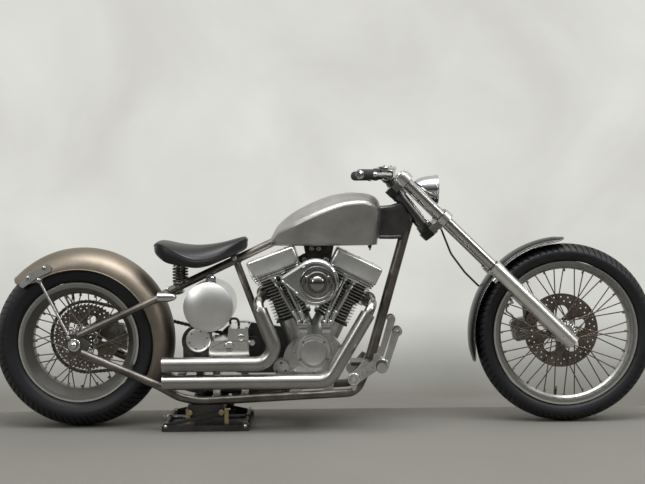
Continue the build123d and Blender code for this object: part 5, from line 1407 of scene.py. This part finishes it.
# each ring of the shell: inset, y
SHELL = [(2, -166), (0, -168), (0, -172), (2.5, -173), (2.5, -196),
    (1.0, -200), (1.6, -205), (4.5, -209), (9, -211.4), (13, -210.5), (15.5, -208), (17, -206.5)]
shell_rows = []
SHELL_POINTS = 96
for inset, y in SHELL:
    line = teardrop(inset, y)
    lengths = [0.0]
    for p, q in zip(line, line[1:] + line[:1]):
        lengths.append(lengths[-1] + (q - p).length)
    shell_rows.append([])
    for k in range(SHELL_POINTS):
        want = lengths[-1] * k / SHELL_POINTS
        i = max(j for j in range(len(line)) if lengths[j] <= want)
        share = (want - lengths[i]) / max(lengths[i + 1] - lengths[i], 1e-9)
        shell_rows[-1].append(line[i].lerp(line[(i + 1) % len(line)], share))
air_shell = piece(
    "air_cleaner_shell", skin(shell_rows), chrome, "frame", "bright_chrome", crease=28)
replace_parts(air_shell, "air_cleaner")
rings = [(0, 66), (-3.0, 64.5),
    (-4.5, 61), (-4.5, 57), (-3.0, 54.5), (-1.0, 53.5), (-1.0, 47), (-4.5, 45.5), (-6.5, 42),
    (-6.5, 35), (-4, 32), (-4, 29.5), (-7.5, 28), (-11.5, 24), (-14.5, 16), (-15.6, 8), (-16, 0)]
dark_chrome = worn_metal("shaded_chrome",
    (0.38, 0.375, 0.365), (0.27, 0.265, 0.26), (0.06, 0.12), 9, 260, depth=0.000005)
piece("air_cleaner_rings", turned([(-a, r) for a, r in rings], AIR + at(6, -206.6, -4), RIGHT, 72),
    dark_chrome, "frame", "bright_chrome", crease=25)
piece("air_cleaner_plate", plate([Vector((p.x, 0, p.z)) for p in teardrop(9, 0)], -166, -158),
    black_iron_and_shade, "frame", "bright_chrome")
ring("air_cleaner_screws",
    screw_y, 3, 48, AIR + at(6, -208, -4), 30, chrome, "frame", "bright_chrome")
fasteners("air_cleaner_tail_screw",
    cap_screw, [((-136, -206, 575), RIGHT)], chrome, slot="bright_chrome")
intake = []
for name, lean in LEANS:
    reach = 62 if name == "rear" else -62
    start = on_cylinder(lean, reach, -10, 326)
    middle = Vector((AIR.x, -12 * MM, AIR.z - 18 * MM))
    intake.append(tube([start, start.lerp(middle, 0.5) + at(0, 0, 4), middle], 19, 20))
piece("intake_manifold", intake, case_alloy, "frame", "fin_alloy")
piece("carburettor_bowl", [turned([(0, 20), (4, 24), (34, 24), (38, 21), (38, 0)],
    at(-39, -96, 548), DOWN, 28), turned([(-14, 34), (-8, 36), (6, 36), (8, 30)],
    at(-39, -104, 566), LEFT, 32)], case_alloy, "frame", "fin_alloy", round_over=0.0008)

# ---- Gearbox and primary drive ----
# A polished alloy gearbox behind the engine, its side cover held by screws, and on the left a
# cast primary cover with a row of screws around its edge and a round inspection cover.
gear_screws = [(-428, 240), (-432, 276), (-296, 276), (-298, 240), (-364, 232), (-364, 280)]
fasteners(
    "gearbox_cover_screws", cap_screw, [((x, -124, z), RIGHT) for x, z in gear_screws], bolt_steel)
top_screws = [(-430, -90), (-430, 60), (-372, -90), (-372, 60), (-300, -96), (-300, 86)]
fasteners("gearbox_top_screws",
    cap_screw, [((x, y, 336 if x < -371 else 385), UP) for x, y in top_screws], bolt_steel)
piece("gearbox_side_panel", [plate([(-420, 238), (-308, 238), (-306, 252), (-318, 276), (-414,
    276), (-424, 262)], -127, -120), turned([(0, 21), (4, 20.5), (6, 18), (6, 14), (4.5, 13),
    (4.5, 0)], at(-364, -122, 316), RIGHT, 36), turned([(0, 13), (9, 12.5), (11, 10), (11, 0)],
    at(-320, -106, 352), RIGHT, 28)], bright_alloy, "frame", "polished_alloy", round_over=0.0012)
PRIMARY_FRONT, PRIMARY_REAR = at(-58, 0, 262), at(-330, 0, 282)
PRIMARY_FACE = 196
edge_line = hull_path(PRIMARY_FRONT, 78, PRIMARY_REAR, 98, 12)
PRIMARY_SCREWS = 14
primary_screws = [edge_line[int(k * len(edge_line) / PRIMARY_SCREWS)] / MM
    for k in range(PRIMARY_SCREWS)]
fasteners("primary_cover_screws",
    cap_screw, [((p.x, PRIMARY_FACE, p.z), LEFT) for p in primary_screws], bolt_steel)
piece("primary_cover_plates", [turned([(-1, 66), (3, 65), (5, 61), (5, 46), (3.5, 44), (3.5, 0)],
    PRIMARY_REAR + at(0, PRIMARY_FACE, 0), LEFT, 56), turned(
    [(-1, 40), (3, 39), (4.5, 36), (4.5, 0)], PRIMARY_FRONT + at(0, PRIMARY_FACE, 0), LEFT, 48)],
    bright_alloy, "frame", "polished_alloy")
ring("primary_derby_screws", pattern(
    "derby_screw", turned([(-2, 0), (-2, 4), (2.5, 4), (3.3, 3), (3.3, 0)], (0, 0, 0), LEFT, 14)),
    5, 54, PRIMARY_REAR + at(0, 200.6, 0), 90, chrome, "frame", "polished_alloy")

# ---- Exhaust ----
# Two header pipes, each inside a wide satin sleeve that is cut off square at the back. The
# header leaves the head in a tight bend and enters the sleeve through a slanted end ring.


def bent_line(corners, bends, step=7.0):
    """Points along straight runs joined by round bends, corners and radii in millimetres."""
    line = [Vector(corners[0])]
    for before, corner, after, radius in zip(corners, corners[1:], corners[2:], bends):
        corner = Vector(corner)
        into = (Vector(before) - corner).normalized()
        out = (Vector(after) - corner).normalized()
        half = into.angle(out) / 2
        centre = corner + (into + out).normalized() * radius / math.sin(half)
        start = corner + into * radius / math.tan(half)
        end = corner + out * radius / math.tan(half)
        arm, far_arm = start - centre, end - centre
        sweep = arm.angle(far_arm)
        count = max(4, int(sweep * radius / step))
        for k in range(count + 1):
            share = k / count
            line.append(centre + arm.slerp(far_arm, share).normalized() * radius)
    line.append(Vector(corners[-1]))
    return [p * MM for p in line]


def part_of(line, from_length, to_length=None):
    """The part of a line between two lengths along it."""
    kept, run = [], 0.0
    for p, q in zip(line, line[1:]):
        span = (q - p).length
        for want in (from_length, to_length):
            if want is not None and run <= want < run + span:
                kept.append(p.lerp(q, (want - run) / span))
        run += span
        if run > from_length and (to_length is None or run < to_length):
            kept.append(q)
    return kept


def pipe_shell(line, outer, inner, inner_from):
    """A pipe with a wall whose bore is open for some length at its end."""
    steps = 40
    wall, faces = tube(line, outer, steps, caps=False)
    bore, bore_faces = tube(part_of(line, inner_from), inner, steps, caps=False)
    shape = gather((wall, faces), (bore, [tuple(reversed(f)) for f in bore_faces]))
    last_outer = len(wall) - steps
    last_inner = len(wall) + len(bore) - steps
    first_inner = len(wall)
    ends = [(last_outer + k, last_outer + (k + 1) % steps,
        last_inner + (k + 1) % steps, last_inner + k) for k in range(steps)]
    ends.append(tuple(range(first_inner, first_inner + steps)))
    ends.append(tuple(range(steps)))
    return shape[0], shape[1] + ends


sleeve_steel = worn_metal("sleeve_steel",
    (0.42, 0.411, 0.395), (0.34, 0.333, 0.318), (0.27, 0.34), 7, 380, depth=0.00001)
header_steel = worn_metal(
    "header_steel", (0.44, 0.42, 0.39), (0.27, 0.25, 0.23), (0.18, 0.28), 16, 300, depth=0.00001)
HEADER_R, SLEEVE_R, SLEEVE_BORE, END_LENGTH = 19, 28, 26, 158
# each pipe: name, corners, radii, length along it where the sleeve starts
PIPES = [
    ("upper", [(-232, -44, 516), (-252, -200, 486), (-163, -200, 261), (-612, -200, 261)],
     (48, 66), 170),
    ("lower", [(168, -44, 487), (183, -200, 480), (12, -200, 194), (-612, -200, 194)],
     (48, 66), 176),
]
for name, corners, bends, sleeve_from in PIPES:
    line = bent_line(corners, bends)
    total = sum((q - p).length for p, q in zip(line, line[1:]))
    sleeve = piece(f"{name}_exhaust_sleeve",
        pipe_shell(part_of(line, sleeve_from * MM), SLEEVE_R, SLEEVE_BORE,
        total - (sleeve_from + END_LENGTH) * MM), sleeve_steel, "frame", "brushed_pipe", crease=40)
    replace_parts(sleeve, f"{name}_exhaust")
    piece(f"{name}_exhaust_header", tube(part_of(line, 0, (sleeve_from + 24) * MM), HEADER_R, 28),
        header_steel, "frame", "brushed_pipe")
    near = part_of(line, (sleeve_from - 1) * MM, (sleeve_from + 6) * MM)
    piece(f"{name}_exhaust_end_ring", turned([(0, HEADER_R), (0, 26.5), (1.5, 28.2), (8, 28.2)],
        near[0], near[-1] - near[0], 40), sleeve_steel, "frame", "brushed_pipe")
    way = (line[1] - line[0]).normalized()
    piece(f"{name}_port_flange", turned([(-2, 30), (5, 30), (6, 29), (6, 21), (9, 19)],
        line[0] - way * 2 * MM, way, 36), header_steel, "frame", "brushed_pipe")
hangers = []
for x, top, low in ((-540, 233, 222), (-120, 224, 208)):
    hangers.append(plate(oblong(x, 15, top - 9, low - 3), -194, -140))
piece("exhaust_hangers", hangers, ground_steel, "frame", "brushed_pipe", round_over=0.001)

# ---- Foot controls ----
# Light alloy plates ahead of the engine with round polished bosses, ribbed rubber-topped foot
# pegs, and the brake pedal and gear lever with their own pegs.
coat(light_alloy, "foot_controls")
boss_parts, rubber_parts = [], []
for side in both:
    out = (0, side, 0)
    for x, z, radius, reach in ((109, 192, 24, 148), (222, 251, 21, 178)):
        boss_parts.append(turned([(-3, radius), (3, radius), (5, radius - 2), (5, radius - 6),
            (3.5, radius - 7), (3.5, 9), (7, 8), (7, 0)], at(x, side * reach, z), out, 36))
    for k in range(9):
        y = side * (188 + k * 8)
        rubber_parts.append(
            turned([(0, 18.5), (0.6, 20.4), (4.4, 20.4), (5, 18.5)], at(211, y, 250), out, 30))
    for k in range(7):
        y = side * (184 + k * 9)
        rubber_parts.append(
            turned([(0, 15.6), (0.6, 17), (5, 17), (5.6, 15.6)], at(271, y, 383), out, 26))
piece("foot_control_bosses", boss_parts, bright_alloy, "frame", "brushed_pipe")
piece("foot_peg_rubbers", rubber_parts, black_rubber, "frame", "black_rubber")
fasteners("foot_control_bolts", hex_bolt,
    both_ways((150, 148, 214), (186, 148, 236), (270, 250, 382)), bolt_steel, slot="brushed_pipe")

# ---- Fork and yokes ----
# Long chromed fork tubes in satin alloy sliders. The yokes are black between the legs with
# polished clamps, each closed by two pinch bolts. Gaiter rings and seals sit on the sliders.
slider_alloy = worn_metal(
    "slider_alloy", (0.82, 0.815, 0.80), (0.72, 0.715, 0.70), (0.28, 0.33), 8, 420)
coat(slider_alloy, "fork_sliders")
HEAD_MIDDLE = at(340.7, 0, 828.5)
HEAD_ANGLE, FORK_ANGLE = math.radians(38.5), math.radians(45.5)
HEAD_UP = Vector((-math.sin(HEAD_ANGLE), 0, math.cos(HEAD_ANGLE)))
FORK_UP = Vector((-math.sin(FORK_ANGLE), 0, math.cos(FORK_ANGLE)))
FORK_BACK = Vector((-math.cos(FORK_ANGLE), 0, -math.sin(FORK_ANGLE)))
AXLE_LEAD = 12
FORK_Y = 100
TREES_UP = (655, 867)


def on_leg(up, y=0.0, back=0.0):
    """A point by the fork legs in millimetres: up from the axle, across, and behind."""
    return FRONT_AXLE + (FORK_BACK * (AXLE_LEAD + back) + FORK_UP * up) * MM + at(0, y, 0)


coat(sided_metal("yoke_paint", 0.0665, 0.0685, 0.022), "top_tree", "lower_tree")
fork_rings = []
for side in both:
    y = side * FORK_Y
    cap = on_leg(882, y)
    fork_rings.append(
        turned([(-2, 25.8), (9, 25.8), (12, 24), (13.5, 17), (13.5, 0)], cap, FORK_UP, 40))
piece("fork_caps", fork_rings, chrome, "steering", "bright_chrome")
seal_rings = []
for side in both:
    y = side * FORK_Y
    seal_rings.append(
        turned([(0, 20.6), (0, 24.5), (3, 25), (5, 22), (5, 20.6)], on_leg(394, y), FORK_UP, 32))
    for up in TREES_UP:
        for low in (-17.5, 15.5):
            seal_rings.append(
                turned([(0, 21), (0, 24), (2, 24), (2, 21)], on_leg(up + low, y), FORK_UP, 32))
piece("fork_seals", seal_rings, black_rubber, "steering", "black_rubber")
fasteners("yoke_pinch_bolts",
    cap_screw, [(tuple(on_leg(up + dx, side * (FORK_Y - 17), 31) / MM), FORK_BACK) for side in both
    for up in TREES_UP for dx in (-8, 8)], bolt_steel, "steering", "bright_chrome")
fasteners("fork_drain_screws", small_screw, [(tuple(on_leg(18, side * (FORK_Y + 28), 6) / MM),
    (0, side, 0)) for side in both], bolt_steel, "steering", "polished_alloy")
stem_top = HEAD_MIDDLE + HEAD_UP * 108 * MM
piece("stem_nut", [hexed(0, 14, 21, stem_top, HEAD_UP), turned([(13, 14),
    (18, 12.5), (20, 6), (20.5, 0)], stem_top, HEAD_UP, 28)], chrome, "steering", "bright_chrome")

# ---- Headlight ----
# A chromed steel bowl with a bright clamped bezel around a clear bulging lens, and behind the
# lens a mirror dish with its bulb shield. It hangs on a bracket from the lower yoke.
LIGHT_FACE = at(446, 0, 908.5)
bowl = [(-108, 6), (-107, 13), (-103, 22), (-94, 32), (-82, 40), (-66, 47),
    (-48, 51.6), (-30, 53.8), (-17, 54.4), (-17, 56), (-14, 57), (-10, 56.8), (-9, 55.6),
    (-7, 55.8), (-5, 57), (-1.5, 56.7), (-0.2, 54.6), (-0.6, 52.6), (-3, 51.8), (-4, 51.2)]
dish = [(-40, 10), (-36, 22), (-29, 33), (-20, 42), (-10, 48.5), (-4, 51.2)]
light_shell = piece("headlight_bowl", turned(bowl + dish[-2::-1], LIGHT_FACE, FORWARD, 72),
    chrome, "steering", "bright_chrome", crease=30)
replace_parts(light_shell, "headlight")
piece("headlight_stem", [tube([at(339, 0, 919), at(362, 0, 899), at(386, 0, 877)], 11, 20),
    turned([(0, 17), (7, 17), (12, 12)], at(384, 0, 872), (-0.35, 0, -1), 28)],
    chrome, "steering", "bright_chrome")
piece("headlight_bulb_shield", turned([(-38, 10), (-20, 9), (-16, 6), (-15, 0)],
    LIGHT_FACE, FORWARD, 28), bright_alloy, "steering", "bright_chrome")


def clear_glass():
    """Clear headlight glass."""
    finish, main, add = shader("lens_glass")
    ridges = add("TexWave", {"Scale": 26.0, "Distortion": 0.0}, bands_direction="Y")
    relief = add("Bump", {"Strength": 0.4, "Distance": 0.0008}, {"Height": ridges.outputs["Fac"]})
    fill(main, {"Base Color": (0.95, 0.97, 0.97, 1),
        "Roughness": 0.03, "Transmission Weight": 1.0, "IOR": 1.48}, {"Normal": relief})
    return finish


lens_profile = [(-5, 51.4), (-2.5, 50.6), (0, 46), (2.6, 36), (4.4, 25), (5.4, 12), (5.8, 0)]
piece("headlight_lens",
    turned(lens_profile, LIGHT_FACE, FORWARD, 72), clear_glass(), "steering", "bright_chrome")

# ---- Handlebar, grips and controls ----
# A chromed bar clamped in two risers. Ribbed black rubber grips end in turned metal plugs, and
# each side carries a polished clamp with a fluid reservoir, its lid and a blade lever.
coat(bright_alloy, "hand_controls")
coat(black_rubber, "grips")
BAR_END, BAR_WAY = Vector((134, -372, 966)), Vector((71, 122, 0)).normalized()
GRIP_RIBS, GRIP_STEP = 16, 6.7


def on_bar(side, along, forward=0.0, up=0.0):
    """A point by the handlebar's end in millimetres: inwards along it, ahead of it and up."""
    front = Vector((BAR_WAY.y, -BAR_WAY.x, 0))
    spot = BAR_END + BAR_WAY * along + front * forward + Vector((0, 0, up))
    return at(spot.x, spot.y * -side, spot.z)


def bar_block(side, low, high):
    """A box by the bar from its low to its high corner: along, forward and up."""
    corners = [(low[0], low[1]), (high[0], low[1]), (high[0], high[1]), (low[0], high[1])]
    return skin([[on_bar(side, a, f, up) for a, f in corners] for up in (low[2], high[2])])


grip_rings, plugs, lids, lid_gaskets, levers, control_bolts = [], [], [], [], [], []
for side in both:
    way = (on_bar(side, 1) - on_bar(side, 0)).normalized()
    for k in range(GRIP_RIBS):
        grip_rings.append(turned([(0, 18.6), (0.8, 19.7), (3.6, 19.7), (4.4, 18.6)],
            on_bar(side, 3 + GRIP_STEP * k), way, 36))
    grip_rings.append(
        turned([(112, 18.8), (113, 22.5), (117, 22.5), (118.5, 18.8)], on_bar(side, 0), way, 36))
    plugs.append(turned([(0, 16), (2, 16.8), (4, 16), (5.5, 13), (5, 8), (6.5, 7), (6.5, 0)],
        on_bar(side, -3.6), -way, 36))
    lids.append(bar_block(side, (120.5, 10.5, 20.6), (187.5, 49.5, 29.8)))
    lid_gaskets.append(bar_block(side, (120, 10, 18.8), (188, 50, 20.8)))
    lid_gaskets.append(bar_block(side, (148, 46.8, -2), (160, 47.4, 10)))
    perch, tip = on_bar(side, 142, 50), on_bar(side, 24, 46)
    path = [perch, on_bar(side, 120, 56), on_bar(side, 80, 52), on_bar(side, 40, 46), tip]
    levers.append(tube(path, 6.6, 16))
    levers.append(turned(
        [(-9.6, 0), (-8, 5), (-4, 8.6), (0, 9.6), (4, 8.6), (8, 5), (9.6, 0)], tip, way, 24))
    levers.append(turned([(-11, 0), (-11, 10.5), (11, 10.5), (11, 0)], perch, UP, 28))
    for up_sign in both:
        control_bolts.append(hexed(10, 15, 7.5, perch, (0, 0, up_sign)))
piece("grip_ribs", grip_rings, black_rubber, "steering", "black_rubber")
piece("grip_end_plugs", plugs, bright_alloy, "steering", "polished_alloy")
piece("reservoir_lids", lids, bright_alloy, "steering", "polished_alloy", round_over=0.0025)
piece("reservoir_gaskets", lid_gaskets, black_iron_and_shade, "steering", "polished_alloy")
piece("brake_and_clutch_levers", levers, chrome, "steering", "polished_alloy")
piece("lever_pivot_bolts", control_bolts, bolt_steel, "steering", "polished_alloy")
fasteners("reservoir_screws", small_screw, [(tuple(on_bar(side, along, 30, 29.8) / MM), UP)
    for side in both for along in (128, 180)], dark_bolt, "steering")
fasteners("perch_screws", cap_screw,
    [(tuple(on_bar(side, along, -20, 0) / MM), tuple(on_bar(side, 0, -1) - on_bar(side, 0, 0)))
    for side in both for along in (131, 145)], bolt_steel, "steering")
fasteners("riser_screws", cap_screw,
    [((250 + dx, side * 45, 971.5), UP) for side in both for dx in (-13, 13)], chrome, "steering")

# ---- Brake hose and pipe ----
# A black rubber hose with crimped steel ends from the lower yoke to the front caliper, and the
# bright hard pipe that runs down ahead of the head tube from the upper yoke to it.
coat(black_rubber, "brake_hose")
hose_top, hose_turn = on_leg(639.4, 30, 24), at(500, 44, 655)
hose_end, hose_above = at(741.6, 67, 452.5), at(740.6, 69, 466.5)
crimps = []
for start, toward in ((hose_top, hose_turn), (hose_end, hose_above)):
    crimps.append(turned(
        [(0, 4), (0, 6.2), (9, 6.2), (10, 5.4), (21, 5.2), (22, 4.2)], start, toward - start, 20))
    crimps.append(hexed(0, 6, 9, start, toward - start))
piece("brake_hose_ends", crimps, bolt_steel, "steering", "black_rubber")
pipe_path = [at(*p) for p in smooth_rows([(338, -40, 868),
    (346, -40, 856), (353, -40, 842), (376, -40, 815), (399, -40, 787), (404, -38, 778)], 4)]
piece("brake_pipe", [tube(pipe_path, 3.0, 12), turned([(0, 6), (9, 6), (11, 3.5)],
    pipe_path[0], pipe_path[1] - pipe_path[0], 16), turned([(0, 6), (9, 6), (11, 3.5)],
    pipe_path[-1], pipe_path[-2] - pipe_path[-1], 16)], bolt_steel, "steering", "bright_chrome")

# ---- Caliper details ----
# Cast alloy calipers: the front one's two halves under a bridge, on a bracket from the slider,
# and on both round bosses over the pistons, bolts through the joint and a bleed screw.
CALIPER_LEAN, CALIPER_X, CALIPER_Z = math.radians(-13), 772, 352
HOSE_END = at(757 - 18 * math.cos(CALIPER_LEAN) + 66 * math.sin(CALIPER_LEAN),
    67, 386 + 18 * math.sin(CALIPER_LEAN) + 66 * math.cos(CALIPER_LEAN))


def on_caliper(up, back=0.0, y=67.0):
    """A point by the front caliper in millimetres, along it and behind its middle."""
    return at(CALIPER_X - back * math.cos(CALIPER_LEAN) + up * math.sin(CALIPER_LEAN),
        y, CALIPER_Z + back * math.sin(CALIPER_LEAN) + up * math.cos(CALIPER_LEAN))


caliper_dark = worn_metal(
    "caliper_dark", (0.34, 0.335, 0.33), (0.20, 0.198, 0.195), (0.24, 0.38), 30)
block_outline = [(-44, -28), (-44, 20), (-32, 32), (32, 32), (44, 20), (44, -28)]
bridge_outline = [(-36, 6), (-32, 31), (32, 31), (36, 6)]
bracket_line = [on_caliper(-34, -24), on_caliper(36, -27), on_leg(205), on_leg(92)]
caliper_halves = [plate([on_caliper(*p) for p in block_outline], low, low + 16.5)
    for low in (45, 72.5)]
caliper_halves.append(plate([on_caliper(*p) for p in bridge_outline], 60, 74))
caliper_halves.append(plate(bracket_line, 78, 87))
caliper_body = piece("front_caliper_body",
    caliper_halves, caliper_dark, "steering", "polished_alloy", round_over=0.0025)
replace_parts(caliper_body, "front_caliper")
boss_profile = [(-2, 18), (3, 17.5), (5, 15.5), (5, 11), (3, 10), (3, 0)]
front_bosses = [turned(boss_profile, on_caliper(up, 2, 67 + side * 22), (0, side, 0), 32)
    for up in (-20, 20) for side in both]
for up in (-36, 36):
    front_bosses.append(hexed(0, 52, 6.5, on_caliper(up, 20, 41), LEFT))
pipe_line = [HOSE_END, HOSE_END + at(-3, 0, -22), on_caliper(60, 16), on_caliper(40, 14)]
pipe_line = [Vector(p) for p in smooth_rows(pipe_line, 5)]
front_bosses.append(tube(pipe_line, 3.6, 12))
front_bosses.append(hexed(0, 12, 7, pipe_line[-1], UP))
front_bosses.append(hexed(-6, 8, 8, HOSE_END, UP))
piece("front_caliper_bosses", front_bosses, caliper_dark, "steering", "polished_alloy")
rear_bosses = []
for x, z in ((-838, 358), (-822, 316)):
    for side in both:
        rear_bosses.append(turned(boss_profile, at(x, 117 + side * 24, z), (0, side, 0), 32))
rear_bosses.append(hexed(0, 8, 6, at(-830, 117, 386), (0.1, 0, 1)))
rear_bosses.append(hexed(0, 8, 9, at(-905, 131, 343), RIGHT))
piece("rear_caliper_bosses", rear_bosses, caliper_dark, "frame", "polished_alloy")

# ---- Side stand ----
# A bent steel bar on a pivot bolt under the left rail, folded back when the machine is up.
# Its return spring goes with the bar.
coat(ground_steel, "side_stand")
STAND_WAY = Vector((0, -0.38, -0.925)).normalized()
pivot = at(-160, 160, 88)
piece("stand_pivot_bolt", [hexed(18, 26, 11, pivot, STAND_WAY),
    hexed(18, 25, 11, pivot, -STAND_WAY)], bolt_steel, "frame", "bright_chrome")
SPRING_START, SPRING_END = at(-182, 176, 92), at(-270, 180, 98)
spring_turns, coil = 16, []
spring_way = SPRING_END - SPRING_START
spring_side, spring_other = square_pair(spring_way)
for k in range(spring_turns * 10 + 1):
    a = 2 * math.pi * k / 10
    coil.append(SPRING_START + spring_way * (k / (spring_turns * 10))
        + (spring_side * math.cos(a) + spring_other * math.sin(a)) * 5 * MM)
piece("stand_spring", tube(coil, 1.3, 6), dark_bolt, "side_stand", "bright_chrome")

# ---- Jack ----
# A low scissor jack of pressed sheet: a base tray, rollers and uprights in brass colour, a
# threaded spindle between two trunnions, and a platform whose pads hold the frame's rails.
jack_sheet = worn_metal(
    "jack_sheet", (0.055, 0.054, 0.052), (0.028, 0.027, 0.026), (0.34, 0.5), 14, 300, metal=0.4)
coat(jack_sheet, "jack_base", "jack_top")
roller_brass = worn_metal("roller_brass", (0.50, 0.40, 0.24), (0.33, 0.26, 0.16), (0.24, 0.4), 40)
SPINDLE_THREADS = 74
spindle = [(0, 7.4)]
for k in range(SPINDLE_THREADS):
    spindle += [(4 * k + 1, 9.2), (4 * k + 3, 7.6)]
piece("jack_spindle",
    turned(spindle, at(-604, 0, 26), FORWARD, 20), bolt_steel, "frame", "jack_paint")
rollers, rivets = [], []
for x in (-607, -305):
    for side in both:
        rollers.append(turned(
            [(0, 11), (3, 12.5), (16, 12.5), (19, 11)], at(x, side * 130, 21), (0, side, 0), 28))
        rivets.append(((x, side * 165.5, 20), (0, side, 0)))
for x in (-396, -516):
    for side in both:
        rollers.append(
            turned([(0, 10), (2, 11), (12, 11), (14, 9)], at(x, side * 144, 70), (0, side, 0), 28))
for x in (-523, -376):
    for side in both:
        near = side * 146 - 3
        rollers.append(plate(oblong(x, 8, 10, 84), near, near + 6))
piece("jack_rollers", rollers, roller_brass, "frame", "jack_paint")
rivet = pattern("rivet", turned([(-1, 0), (-1, 7), (1.5, 7), (4, 5), (5, 2), (5.2, 0)], steps=16))
fasteners("jack_rivets", rivet, rivets, bolt_steel, slot="jack_paint")
DRIVE_END, BACK = at(-619, 0, 26), (-1, 0, 0)
piece("jack_hex_drive", [hexed(0, 16, 13, DRIVE_END, BACK),
    turned([(-8, 12), (0, 12)], DRIVE_END, BACK, 20)], bolt_steel, "frame", "jack_paint")

for thing in patterns:
    bpy.data.objects.remove(thing)
